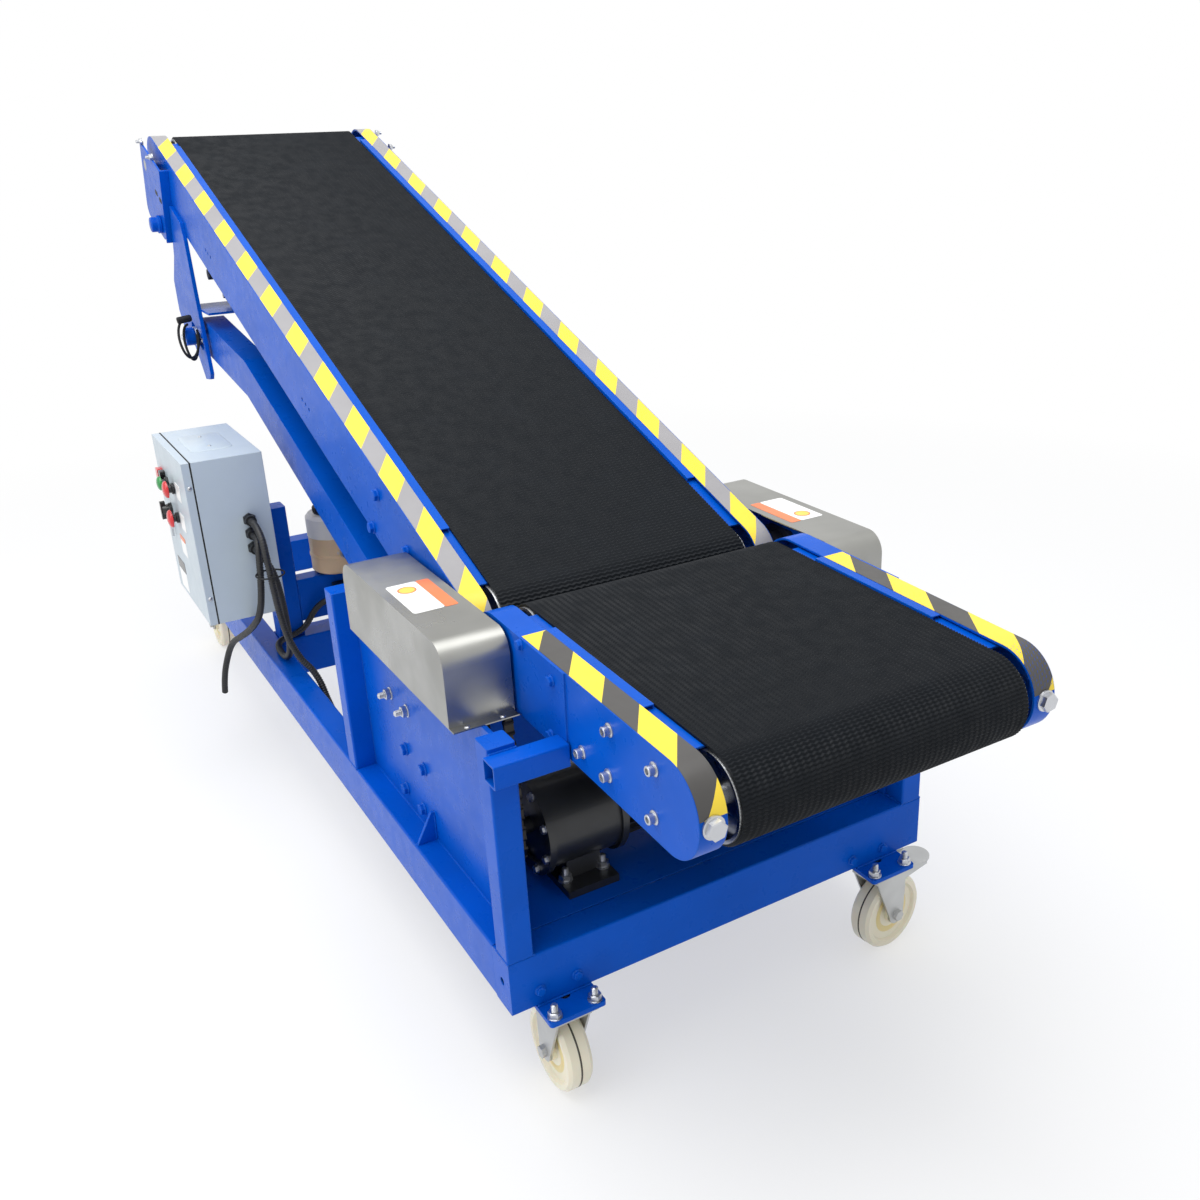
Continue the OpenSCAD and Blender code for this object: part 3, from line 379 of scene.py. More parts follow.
class Piece:
    """Collects one piece's faces in millimetres of its place, and makes its object."""

    def __init__(self, name: str, body: str, place: Matrix = BASE) -> None:
        """Starts an empty piece that rides on a body."""
        self.name = name
        self.body = body
        self.place = place
        self.points: list[Vector] = []
        self.faces: list[tuple[int, ...]] = []
        self.marks: list[int] = []
        self.finishes: list[Finish] = []

    def add(self, points: Iterable[Sequence[float]], faces: Iterable[Sequence[int]], finish: Finish,
            at: Matrix = STILL) -> None:
        """Adds faces.

        Args:
            points: Their corners.
            faces: Each face's corners, counted from the first of these points.
            finish: Their finish.
            at: Where they stand in the piece's place.
        """
        if finish not in self.finishes:
            self.finishes.append(finish)
        start, turn = len(self.points), self.place @ at
        self.points += [turn @ Vector(p) for p in points]
        fresh = [tuple(start + i for i in f) for f in faces]
        self.faces += fresh
        self.marks += [self.finishes.index(finish)] * len(fresh)

    def prism(self, outline: Sequence[Flat], low: float, high: float, finish: Finish, at: Matrix = STILL) -> None:
        """Adds an outline in x and y, given its thickness along z."""
        n = len(outline)
        points = [(x, y, z) for z in (low, high) for x, y in outline]
        sides = [(i, (i + 1) % n, n + (i + 1) % n, n + i) for i in range(n)]
        self.add(points, [*sides, tuple(range(n))[::-1], tuple(range(n, 2 * n))], finish, at)

    def block(self, low: Point, high: Point, finish: Finish, at: Matrix = STILL, edge: float = 0) -> None:
        """Adds a block, its upright edges cut by a chamfer."""
        e = edge
        (x0, y0, z0), (x1, y1, z1) = low, high
        corners = [(x0 + e, y0), (x1 - e, y0), (x1, y0 + e), (x1, y1 - e), (x1 - e, y1), (x0 + e, y1),
                   (x0, y1 - e), (x0, y0 + e)]
        self.prism(corners if e else [(x0, y0), (x1, y0), (x1, y1), (x0, y1)], z0, z1, finish, at)

    def lathe(self, profile: Sequence[Flat], sides: int, finish: Finish, at: Matrix = STILL) -> None:
        """Adds a turned form round its z axis.

        Args:
            profile: Radius and height of each ring, from the bottom up.
            sides: Number of sides.
            finish: Its finish.
            at: Where it stands.
        """
        ring = [(math.cos(2 * math.pi * k / sides), math.sin(2 * math.pi * k / sides)) for k in range(sides)]
        points = [(max(r, 0.01) * c, max(r, 0.01) * s, z) for r, z in profile for c, s in ring]
        faces = [(j * sides + k, j * sides + (k + 1) % sides, (j + 1) * sides + (k + 1) % sides,
                  (j + 1) * sides + k) for j in range(len(profile) - 1) for k in range(sides)]
        last = (len(profile) - 1) * sides
        faces += [tuple(range(sides))[::-1], tuple(range(last, last + sides))]
        self.add(points, faces, finish, at)

    def tube(self, path: Sequence[Vector], radius: Callable[[int], float], sides: int, finish: Finish) -> None:
        """Adds a round form along a path.

        Args:
            path: Its middle line.
            radius: Its radius at each point of the path.
            sides: Number of sides.
            finish: Its finish.
        """
        last = len(path) - 1
        ahead = (path[1] - path[0]).normalized()
        side = ahead.orthogonal().normalized()
        points: list[Vector] = []
        for i, middle in enumerate(path):
            run = (path[min(i + 1, last)] - path[max(i - 1, 0)]).normalized()
            side = (side - run * side.dot(run)).normalized()
            other = run.cross(side)
            for k in range(sides):
                a = 2 * math.pi * k / sides
                points.append(middle + radius(i) * (math.cos(a) * side + math.sin(a) * other))
        faces = [(i * sides + k, i * sides + (k + 1) % sides, (i + 1) * sides + (k + 1) % sides,
                  (i + 1) * sides + k) for i in range(last) for k in range(sides)]
        faces += [tuple(range(sides))[::-1], tuple(range(last * sides, (last + 1) * sides))]
        self.add(points, faces, finish)

    def weld(self, a: Point, b: Point, radius: float = 3) -> None:
        """Adds a weld bead of overlapping scales from a to b, painted over."""
        start, end = Vector(a), Vector(b)
        steps = max(4, int((end - start).length / 1.6))
        path = [start.lerp(end, i / steps) for i in range(steps + 1)]
        self.tube(path, lambda i: radius * (0.72 + 0.28 * abs(math.sin(i * 0.9))), 8, BLUE)

    def make(self, slot: str, smooth: float = 35, replaces: Sequence[str] = ()) -> bpy.types.Object:
        """Makes the object.

        Args:
            slot: Not used; the finishes are those of the faces added.
            smooth: Edges sharper than this stay sharp, in degrees.
            replaces: The solids that it stands for.

        Returns:
            The object, riding on its body.
        """
        mesh = bpy.data.meshes.new(self.name)
        mesh.from_pydata([tuple(p) for p in self.points], [], self.faces)
        for finish in self.finishes:
            mesh.materials.append(finish.material())
        mesh.polygons.foreach_set("material_index", self.marks)
        work = bmesh.new()
        work.from_mesh(mesh)
        bmesh.ops.recalc_face_normals(work, faces=work.faces)
        work.to_mesh(mesh)
        work.free()
        mesh.polygons.foreach_set("use_smooth", [True] * len(mesh.polygons))
        mesh.set_sharp_from_angle(angle=math.radians(smooth))
        obj = bpy.data.objects.new(self.name, mesh)
        bpy.context.scene.collection.objects.link(obj)
        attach(obj, self.body)
        if replaces:
            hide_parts(*replaces)
        log.info("%s: %d faces on %s", self.name, len(mesh.polygons), self.body)
        return obj


class Screw(Enum):
    """Kinds of fastener."""

    HEX_BOLT = "hex bolt"
    CAP_SCREW = "cap screw"
    STUD = "stud with a nut"
    PAN_SCREW = "pan head screw"


@dataclass(frozen=True)
class Fastener:
    """A fastener of one kind and size, in millimetres."""

    kind: Screw
    size: float
    finish: Finish
    washer: bool = True
    stud: float = 10

    def put(self, piece: Piece, point: Sequence[float], direction: Sequence[float], turn: float = 0) -> None:
        """Adds the fastener to a piece.

        Args:
            piece: The piece that carries it.
            point: The point of the surface that it stands on.
            direction: Where its head points.
            turn: Degrees that its head is turned.
        """
        d, base = self.size, 0.0
        at = facing(point, direction, turn)
        if self.washer:
            base = d * 0.2
            piece.lathe([(d * 1.05, -0.4), (d * 1.05, base * 0.8), (d * 0.98, base)], 20, self.finish, at)
        if self.kind is Screw.HEX_BOLT:
            s, h = d * 0.92, base + d * 0.64
            piece.lathe([(s, base - 0.2), (s, h - d * 0.1), (s * 0.86, h), (0, h)], 6, self.finish, at)
        elif self.kind is Screw.CAP_SCREW:
            r, h = d * 0.75, base + d
            rings = [(r, base - 0.2), (r, h - d * 0.08), (r - d * 0.08, h), (d * 0.45, h)]
            piece.lathe([*rings, (d * 0.4, h - d * 0.5), (0, h - d * 0.5)], 16, self.finish, at)
        elif self.kind is Screw.STUD:
            s, h = d * 0.92, base + d * 0.8
            piece.lathe([(s * 0.86, base - 0.2), (s, base + 1), (s, h - 1), (s * 0.86, h), (0, h)], 6,
                        self.finish, at)
            turns = int(self.stud / 0.75)
            thread = [(d * (0.5 if i % 2 else 0.43), h - 0.5 + i * self.stud / turns) for i in range(turns + 1)]
            piece.lathe([*thread, (d * 0.3, h + self.stud + 0.6)], 12, self.finish, at)
        else:
            dome = [(d * math.cos(a), base + d * 0.45 * math.sin(a)) for a in (0, 0.35, 0.7, 1.05, 1.4)]
            piece.lathe([(d, base - 0.3), *dome], 16, self.finish, at)
            # The slot in the head is a thin black bar: painted shade in place of the cut.
            piece.block((-d * 0.7, -d * 0.12, base), (d * 0.7, d * 0.12, base + d * 0.46), GASKET, at)


PAINTED_BOLT = Fastener(Screw.HEX_BOLT, 12, BLUE)
PAINTED_SMALL = Fastener(Screw.HEX_BOLT, 9, BLUE)
ZINC_BOLT = Fastener(Screw.HEX_BOLT, 16, ZINC)
ZINC_SMALL = Fastener(Screw.HEX_BOLT, 8, ZINC)
ZINC_STUD = Fastener(Screw.STUD, 12, ZINC, stud=12)
SMALL_STUD = Fastener(Screw.STUD, 9, ZINC, stud=8)
CAP = Fastener(Screw.CAP_SCREW, 10, ZINC)
PAN = Fastener(Screw.PAN_SCREW, 5, ZINC, washer=False)


@dataclass
class ViewPoint:
    """The photograph's camera, in millimetres of the base's frame and degrees."""

    position: Point = (1406.8, -977.4, 1517.9)
    yaw: float = 31.74
    pitch: float = 22.64
    roll: float = -1.56
    focal: float = 1192.6
    centre: Flat = (674.2, 602.6)
    sensor: float = 36

    def make(self) -> None:
        """Makes the scene's camera."""
        yaw, pitch, roll = (math.radians(a) for a in (self.yaw, self.pitch, self.roll))
        ahead = Vector((-math.cos(yaw) * math.cos(pitch), math.sin(yaw) * math.cos(pitch), -math.sin(pitch)))
        level = ahead.cross(Vector((0, 0, 1))).normalized()
        right = math.cos(roll) * level + math.sin(roll) * level.cross(ahead)
        up = right.cross(ahead)
        lens = bpy.data.cameras.new("photo_camera")
        lens.sensor_width = self.sensor
        lens.lens = self.sensor * self.focal / IMAGE
        lens.shift_x = (IMAGE / 2 - self.centre[0]) / IMAGE
        lens.shift_y = (self.centre[1] - IMAGE / 2) / IMAGE
        lens.clip_start, lens.clip_end = 0.05, 200
        camera = bpy.data.objects.new("photo_camera", lens)
        turn = Matrix((right, up, -ahead)).transposed().to_4x4()
        camera.matrix_world = Matrix.Translation(BASE @ Vector(self.position)) @ turn
        bpy.context.scene.collection.objects.link(camera)
        bpy.context.scene.camera = camera


@dataclass
class FreeCord:
    """A corrugated conduit or smooth hose along a route of the base's frame, in millimetres."""

    name: str
    node: str
    diameter: float
    route: list[Point]
    far_end: str
    pitch: float = 0
    lay: str = "hanging"
    clamps: list[int] = field(default_factory=list)

    def radius_at(self, i: int) -> float:
        """Radius at a step of the path: crests and roots by turns, or smooth."""
        return self.diameter / 2 * (0.84 if self.pitch and i % 3 == 2 else 1)

    def make(self) -> None:
        path = sampled(self.route, self.pitch / 3 if self.pitch else 6)
        piece = Piece(self.name, "base")
        piece.tube(path, self.radius_at, 12, CONDUIT)
        cord = piece.make("conduit_black", smooth=60 if self.pitch else 35, replaces=[self.node])


def cords() -> list[FreeCord]:
    """The three conduits from the cabinet and the cylinder's hose, with the routes of their solids."""
    long_route = [
        (-1289.7, -432, 670), (-1270, -432, 670), (-1243, -431, 663), (-1218, -430, 642),
        (-1206, -430, 612), (-1205, -428, 575), (-1205, -425, 520), (-1205, -420, 460),
        (-1204, -410, 400), (-1200, -392, 350), (-1192, -372, 318), (-1180, -360, 285),
        (-1155, -356, 252), (-1115, -354, 228), (-1060, -354, 217), (-1000, -354, 222),
        (-945, -354, 247), (-905, -354, 279), (-870, -354, 300), (-835, -354, 308),
        (-780, -354, 308), (-720, -354, 304), (-640, -352, 297), (-560, -352, 290),
        (-480, -352, 290), (-410, -350, 297), (-360, -345, 306), (-325, -325, 308),
        (-312, -280, 308), (-312, -220, 308), (-316, -150, 308), (-318, -105, 319),
        (-318, -80, 345), (-318, -68, 380), (-316, -64, 412), (-305, -64, 443),
        (-284, -64, 466), (-262, -64, 477), (-235.3, -64, 477),
    ]
    tail_route = [
        (-1289.7, -432, 637), (-1270, -432, 637), (-1252, -434, 629), (-1241, -438, 606),
        (-1238, -441, 575), (-1240, -445, 530), (-1245, -451, 485), (-1262, -457, 450),
        (-1296, -461, 422), (-1345, -464, 391), (-1400, -467, 360), (-1470, -470, 324),
        (-1534, -474, 290), (-1578, -481, 251), (-1612, -492, 193), (-1628, -498, 150),
        (-1640, -501, 110),
    ]
    pump_route = [
        (-1289.7, -432, 602), (-1272, -432, 602), (-1254, -427, 594), (-1244, -418, 572),
        (-1241, -410, 540), (-1242, -404, 490), (-1248, -400, 430), (-1258, -398, 375),
        (-1278, -398, 336), (-1308, -399, 315), (-1340, -400, 308), (-1385, -398, 308),
        (-1418, -388, 308), (-1438, -368, 308), (-1447, -342, 309), (-1449, -324, 315),
        (-1449, -309, 326), (-1447, -298, 341), (-1443, -286, 359), (-1437, -272, 375),
        (-1433, -256, 383), (-1433, -246, 384), (-1433, -230.3, 384),
    ]
    hose_route = [
        (-1400.7, -200, 505), (-1380, -200, 505), (-1350, -199, 498), (-1310, -196, 478),
        (-1262, -190, 440), (-1205, -182, 400), (-1140, -172, 366), (-1065, -160, 341),
        (-985, -145, 328), (-915, -125, 324), (-880, -112, 324), (-860, -110, 324),
        (-830.3, -110, 324),
    ]
    return [
        FreeCord("motor_conduit", "conduit_long", 16, long_route, "object", 6),
        FreeCord("spare_conduit", "conduit_tail", 16, tail_route, "bare", 6),
        FreeCord("pump_conduit", "conduit_pump", 16, pump_route, "object", 6),
        FreeCord("cylinder_hose", "power_hose", 14, hose_route, "object"),
    ]


@dataclass
class RibbedBelt:
    """Endless belt with fine waved cross ribs, round two drums, in millimetres of its conveyor."""

    name: str
    node: str
    body: str
    place: Matrix
    rear: float
    front: float
    radius: float
    half_width: float = 250
    thickness: float = 5
    rib_pitch: float = 6
    rib_height: float = 1.7
    wave: float = 1.0
    waves: int = 48

    def on_loop(self, s: float, radius: float) -> Flat:
        """Point of the loop at a length along it, on a given radius about the drums."""
        span, half = self.front - self.rear, math.pi * self.radius
        s %= 2 * (span + half)
        if s < span:
            return self.rear + s, radius
        if s < span + half:
            a = (s - span) / self.radius
            return self.front + radius * math.sin(a), radius * math.cos(a)
        if s < 2 * span + half:
            return self.front - (s - span - half), -radius
        a = (s - 2 * span - half) / self.radius
        return self.rear - radius * math.sin(a), -radius * math.cos(a)

    def make(self) -> None:
        """Makes the belt as one closed band."""
        total = 2 * (self.front - self.rear) + 2 * math.pi * self.radius
        ribs = round(total / self.rib_pitch)
        across = 2 * self.waves
        points: list[Point] = []
        for i in range(ribs):
            for part, drop in ((0.0, self.rib_height), (0.5, 0.0)):
                s = (i + part) * total / ribs
                for k in range(across + 1):
                    y = self.half_width * (2 * k / across - 1)
                    shift = self.wave if k % 2 else -self.wave
                    if k in (0, across):
                        shift = 0
                    x, z = self.on_loop(s + shift, self.radius - drop)
                    points.append((x, y, z))
                for y in (self.half_width, -self.half_width):
                    x, z = self.on_loop(s, self.radius - self.thickness)
                    points.append((x, y, z))
        row, rows = across + 3, ribs * 2
        faces = [(i * row + k, i * row + (k + 1) % row, (i + 1) % rows * row + (k + 1) % row,
                  (i + 1) % rows * row + k) for i in range(rows) for k in range(row)]
        piece = Piece(self.name, self.body, self.place)
        piece.add(points, faces, RUBBER)
        piece.make("belt_rubber", smooth=20, replaces=[self.node])


@dataclass
class HazardTape:
    """Yellow and grey slanted tape along the top of both side channels of a conveyor, in millimetres."""

    name: str
    body: str
    place: Matrix
    rear: float
    front: float
    radius: float
    start: float
    end: float
    yellow: Flat
    block: float
    grey: Finish = TAPE_GREY
    outer: float = 311.5
    width: float = 41
    slant: float = 64

    def on_edge(self, s: float, y: float, lift: float) -> Point:
        """Point on the channel's top at a length along it, raised by lift."""
        r = self.radius + lift
        if s > self.front:
            a = (s - self.front) / self.radius
            return self.front + r * math.sin(a), y, r * math.cos(a)
        if s < self.rear:
            a = (self.rear - s) / self.radius
            return self.rear - r * math.sin(a), y, r * math.cos(a)
        return s, y, r

    def stripe(self, piece: Piece, side: int, s: float, finish: Finish) -> None:
        """Adds one slanted block of the tape that starts at a length along the channel's outer edge."""
        cells, lanes, points = 12, 6, []
        for i in range(cells + 1):
            for j in range(lanes + 1):
                along = s + self.block * i / cells + side * self.slant * j / lanes
                along = min(max(along, self.start), self.end)
                y = side * (self.outer - self.width * j / lanes)
                points += [self.on_edge(along, y, lift) for lift in (0.1, 0.5)]
        row = 2 * (lanes + 1)
        if abs(points[0][0] - points[-1][0]) < 0.01 and abs(points[row - 1][0] - points[-row][0]) < 0.01:
            return
        faces: list[tuple[int, ...]] = []
        for i in range(cells):
            for j in range(lanes):
                a, b = i * row + 2 * j, (i + 1) * row + 2 * j
                faces += [(a, b, b + 2, a + 2), (a + 1, a + 3, b + 3, b + 1)]
            a, b = i * row, (i + 1) * row
            faces += [(a, a + 1, b + 1, b), (a + row - 2, b + row - 2, b + row - 1, a + row - 1)]
        for j in range(lanes):
            a, b = 2 * j, cells * row + 2 * j
            faces += [(a, a + 2, a + 3, a + 1), (b, b + 1, b + 3, b + 2)]
        piece.add(points, faces, finish)

    def make(self) -> None:
        """Makes the tape of both sides."""
        for side, word, phase in ((-1, "left", self.yellow[0]), (1, "right", self.yellow[1])):
            piece = Piece(f"{self.name}_{word}", self.body, self.place)
            first = math.floor((self.start - phase) / self.block) - 1
            last = math.ceil((self.end - phase) / self.block) + 1
            for k in range(first, last + 1):
                finish = TAPE_YELLOW if k % 2 == 0 else self.grey
                self.stripe(piece, side, phase + k * self.block, finish)
            piece.make("button_plastic")


@dataclass
class SideFrames:
    """Fasteners, cover screws and welds of the two side frames."""

    panel_y: float = 385
    post_y: float = 427
    post_w: float = 45
    top: float = 298
    studs: tuple[Flat, ...] = ((-560, 524), (-475, 524))
    bolts: tuple[Flat, ...] = ((-510, 429), (-417, 431), (-531, 335), (-444, 335))
    cover_front: float = -138
    cover_floor: float = 652

    def make(self) -> None:
        """Makes the pieces of both sides."""
        for side, word in ((-1, "left"), (1, "right")):
            fixings = Piece(f"frame_fixings_{word}", "base")
            out = (0, side, 0)
            for x, z in self.studs:
                ZINC_STUD.put(fixings, (x, side * self.panel_y, z), out, 12)
            for x, z in self.bolts:
                PAINTED_BOLT.put(fixings, (x, side * self.panel_y, z), out, 20)
            for y in (345, 405):
                PAN.put(fixings, (self.cover_front + 10, side * y, self.cover_floor), (0, 0, 1), 30)
            fixings.make("zinc")
            welds = Piece(f"frame_welds_{word}", "base")
            y = side * (self.post_y - 1)
            inside = side * (self.post_y - self.post_w)
            for x in (0, -718):
                welds.weld((x - self.post_w, y, self.top), (x, y, self.top), 2.5)
                welds.weld((x - self.post_w, inside, self.top), (x, inside, self.top), 2.5)
                welds.weld((x - self.post_w, y, self.top), (x - self.post_w, inside, self.top), 2.5)
            welds.weld((-700, side * self.panel_y, self.top), (-60, side * self.panel_y, self.top), 2.5)
            welds.weld((0.5, y, 670), (0.5, inside, 670), 2.5)
            welds.weld((-395, side * 424, 298), (-395, side * 388, 298), 2.5)
            welds.weld((-389, side * 386, 300), (-389, side * 386, 350), 2.2)
            welds.make("blue_paint", smooth=60)


@dataclass
class CoverLabel:
    """Blank labels on the drive covers' tops: white field, orange band and a yellow disc.

    The right cover's label is the left one turned half round, so its disc is at the other end.
    """

    low: Flat = (-424, -413)
    high: Flat = (-288, -337)
    top: float = 785
    band: float = 23
    disc: Flat = (-392, -386)
    disc_r: float = 16

    def make(self) -> None:
        """Makes both labels."""
        (x0, y0), (x1, y1) = self.low, self.high
        middle = (x0 + x1) / 2
        for word, turn in (("left", 0), ("right", math.pi)):
            piece = Piece(f"cover_label_{word}", "base")
            half = Matrix.Translation((middle, 0, self.top)) @ Matrix.Rotation(turn, 4, "Z")
            at = half @ Matrix.Translation((-middle, 0, 0))
            piece.prism(self.rounded(x0, y0, x1, y1 - self.band, 6), 0.05, 0.35, LABEL_WHITE, at)
            piece.prism(self.rounded(x0, y1 - self.band, x1, y1, 4), 0.05, 0.36, LABEL_ORANGE, at)
            centre = at @ Matrix.Translation((*self.disc, 0))
            piece.lathe([(self.disc_r, 0.2), (self.disc_r, 0.5)], 40, LABEL_ORANGE, centre)
            piece.lathe([(self.disc_r - 3, 0.4), (self.disc_r - 3, 0.6)], 40, LABEL_YELLOW, centre)
            piece.make("button_plastic")

    @staticmethod
    def rounded(x0: float, y0: float, x1: float, y1: float, r: float) -> list[Flat]:
        """Outline of a rectangle with round corners."""
        corners = ((x1 - r, y1 - r, 0), (x0 + r, y1 - r, 90), (x0 + r, y0 + r, 180), (x1 - r, y0 + r, 270))
        return [(cx + r * math.cos(math.radians(a + d)), cy + r * math.sin(math.radians(a + d)))
                for cx, cy, a in corners for d in range(0, 91, 15)]


@dataclass
class FeedFittings:
    """Fasteners of the feed conveyor's side channels, in millimetres of the base's frame."""

    web_y: float = 312
    caps: tuple[Flat, ...] = ((157, 746), (72, 672), (148, 671), (273, 742), (269, 668))
    bolts: tuple[Flat, ...] = ((-7, 754), (-20, 659), (-107, 774))
    take_up: Point = (382, 292, 703)

    def make(self) -> None:
        """Makes the fasteners of both sides."""
        piece = Piece("feed_fixings", "base")
        for side in (-1, 1):
            out = (0, side, 0)
            for x, z in self.caps:
                CAP.put(piece, (x, side * self.web_y, z), out)
            for x, z in self.bolts:
                PAINTED_SMALL.put(piece, (x, side * (self.web_y + 3), z), out, 15)
            x, y, z = self.take_up
            ZINC_BOLT.put(piece, (x - 7, side * y, z), (1, 0, 0), 10)
        piece.make("zinc")


@dataclass
class BoomFittings:
    """Fasteners of the boom's side channels and head brackets, in millimetres of the boom's frame."""

    web_y: float = 313
    bracket_y: float = 337
    bolts: tuple[Flat, ...] = ((-376, 28), (-398, -79 + 16), (-225, 3), (-372, -50))
    studs: tuple[Flat, ...] = ((-2120, 58), (-2010, 56))
    # Places of the bracket slots, drawn as thin black films: painted shade in place of the openings.
    painted_slot_shades: tuple[Flat, ...] = ((-1990, -34), (-1946, -38))

    def make(self) -> None:
        """Makes the fasteners of both sides."""
        piece = Piece("boom_fixings", "boom", BOOM)
        for side in (-1, 1):
            out = (0, side, 0)
            for x, z in self.bolts[:3]:
                PAINTED_BOLT.put(piece, (x, side * self.web_y, z), out, 25)
            for x, z in self.studs:
                SMALL_STUD.put(piece, (x, side * (self.bracket_y - 4), z), out, 8)
            piece.lathe([(22, 0), (24, 2), (24, 10), (20, 12), (20, 26), (17, 28)], 24, BLUE,
                        facing((-1976, side * self.bracket_y, -117), out))
            # Each slot is a thin black film on the bracket: painted shade where the opening would be.
            for x, z in self.painted_slot_shades:
                at = facing((x, side * self.bracket_y, z), out)
                piece.prism(CoverLabel.rounded(-14, -6, 14, 6, 5.5), 0.05, 0.3, GASKET, at)
        piece.make("blue_paint")


@dataclass
class ArmEnd:
    """Collar, grip and grease hoses at the left lift arm's upper pin, in millimetres of the base's frame."""

    pin: Point = (-2115, -331.5, 963)
    reach: float = 26
    loops: tuple[tuple[float, float, float, float, float], ...] = ((-2074, -354, 964, 25, 52),
                                                                   (-2088, -347, 952, 17, 48))

    def make(self) -> None:
        """Makes the collar with its grip, and the two hoses that loop round it."""
        x, y, z = self.pin
        piece = Piece("arm_end_collar", "lift_arms")
        piece.lathe([(22, 0), (24, 2), (24, self.reach - 3), (21, self.reach)], 32, BLUE, facing(self.pin, (0, -1, 0)))
        end = (x, y - self.reach, z)
        piece.lathe([(9, -0.5), (9, 6), (7, 8)], 6, ZINC, facing(end, (0, -1, 0)))
        grip = facing((x + 35, y - 44, z + 50), (0, 1, 0.12))
        piece.lathe([(7, 0), (9.5, 2), (9.5, 34), (7, 38)], 20, GASKET, grip)
        for cx, cy, cz, ry, rz in self.loops:
            turns = [math.radians(95 + 290 * k / 40) for k in range(41)]
            path = [Vector((cx + 8 * math.sin(2 * a), cy + ry * math.cos(a), cz + rz * math.sin(a))) for a in turns]
            piece.tube(path, lambda i: 3.4, 10, GASKET)
        piece.make("blue_paint")


@dataclass
class CabinetTrim:
    """Seal, screws, labels and controls of the control cabinet, in millimetres of the base's frame."""

    rear: float = -1640
    front: float = -1310
    door_y: float = -556
    back_y: float = -381
    floor: float = 435
    top: float = 820
    seal_y: float = -536

    def mushroom(self, piece: Piece, x: float, z: float, radius: float, finish: Finish) -> None:
        """Adds a mushroom button on a collar."""
        at = facing((x, self.door_y, z), (0, -1, 0))
        piece.lathe([(13, -0.5), (13, 6), (11, 7), (9, 7), (9, 15)], 24, BLACK, at)
        dome = [(radius * math.cos(a), 18 + 8 * math.sin(a)) for a in (0, 0.3, 0.6, 0.9, 1.2, 1.5)]
        piece.lathe([(radius * 0.8, 14), (radius, 15.5), *dome], 32, finish, at)

    def make(self) -> None:
        """Makes the cabinet's trim."""
        self.make_seal()
        self.make_box_trim()
        self.make_controls()

    def make_seal(self) -> None:
        """Makes the black seal round the door's edge."""
        piece = Piece("door_seal", "cabinet_door")
        x0, x1, z0, z1, w = self.rear, self.front, self.floor, self.top, 8
        y0, y1 = self.seal_y - 3, self.seal_y + 0.2
        for low, high in (((x0 - 0.4, y0, z0 - 0.4), (x1 + 0.4, y1, z0 + w)),
                          ((x0 - 0.4, y0, z1 - w), (x1 + 0.4, y1, z1 + 0.4)),
                          ((x0 - 0.4, y0, z0 + w), (x0 + w, y1, z1 - w)),
                          ((x1 - w, y0, z0 + w), (x1 + 0.4, y1, z1 - w))):
            piece.block(low, high, GASKET)
        for z in (763, 499):
            PAN.put(piece, (x1 - 0.1, self.door_y + 10, z), (1, 0, 0), 40)
        piece.make("gland_black")

    def make_box_trim(self) -> None:
        """Makes the raised panel on the cabinet's top and its two screws."""
        piece = Piece("cabinet_top_panel", "base")
        x0, y0, x1, y1 = -1565, -515, -1395, -420
        outline = CoverLabel.rounded(x0, y0, x1, y1, 18)
        inner = CoverLabel.rounded(x0 + 4, y0 + 4, x1 - 4, y1 - 4, 15)
        n = len(outline)
        points = [(x, y, self.top - 0.3) for x, y in outline] + [(x, y, self.top + 1.6) for x, y in inner]
        faces = [(i, (i + 1) % n, n + (i + 1) % n, n + i) for i in range(n)]
        piece.add(points, [*faces, tuple(range(n, 2 * n)), tuple(range(n))[::-1]], CABINET)
        for x, y in ((x0 + 35, (y0 + y1) / 2), (x1 - 35, (y0 + y1) / 2)):
            piece.lathe([(4, 1.2), (4, 2.6), (3, 3.4)], 14, PRESSED, Matrix.Translation((x, y, self.top)))
        piece.make("cabinet_grey")

    def make_controls(self) -> None:
        """Makes the door's buttons, switch and blank plates."""
        piece = Piece("door_buttons", "cabinet_door")
        across = Matrix.Translation((0, self.door_y, 0)) @ Matrix.Rotation(math.pi / 2, 4, "X")
        for x0, z0, x1, z1 in ((-1428, 712, -1382, 752), (-1440, 637, -1394, 677)):
            piece.prism(CoverLabel.rounded(x0, z0, x1, z1, 3), 0.1, 1.2, LABEL_WHITE, across)
        piece.prism(CoverLabel.rounded(-1500, 560, -1443, 604, 2), 0.1, 0.5, LABEL_WHITE, across)
        piece.prism(CoverLabel.rounded(-1500, 596, -1443, 608, 2), 0.1, 0.7, LABEL_ORANGE, across)
        piece.prism(CoverLabel.rounded(-1600, 496, -1520, 524, 2), 0.1, 0.6, BLACK, across)
        piece.prism(CoverLabel.rounded(-1600, 446, -1520, 494, 2), 0.1, 0.6, LABEL_WHITE, across)
        self.mushroom(piece, -1526, 728, 17, GREEN)
        self.mushroom(piece, -1456, 730, 20, RED)
        self.mushroom(piece, -1469, 656, 21, RED)
        piece.prism(CoverLabel.rounded(-1598, 724, -1572, 750, 3), 0, 13, RED, across)
        piece.prism(CoverLabel.rounded(-1568, 726, -1546, 750, 3), 0, 12, BLACK, across)
        switch = facing((-1547, self.door_y, 657), (0, -1, 0))
        piece.lathe([(15, -0.5), (15, 6), (13, 8), (12, 20), (11, 22)], 28, BLACK, switch)
        piece.prism(CoverLabel.rounded(-1553, 635, -1541, 679, 4), 14, 25, BLACK, across)
        piece.prism(CoverLabel.rounded(-1561, 587, -1553, 617, 3), 4, 9, ZINC, across)
        piece.lathe([(9, -0.5), (9, 5), (7, 7)], 20, ZINC, facing((-1557, self.door_y, 617), (0, -1, 0)))
        piece.make("button_plastic", replaces=["door_controls"])


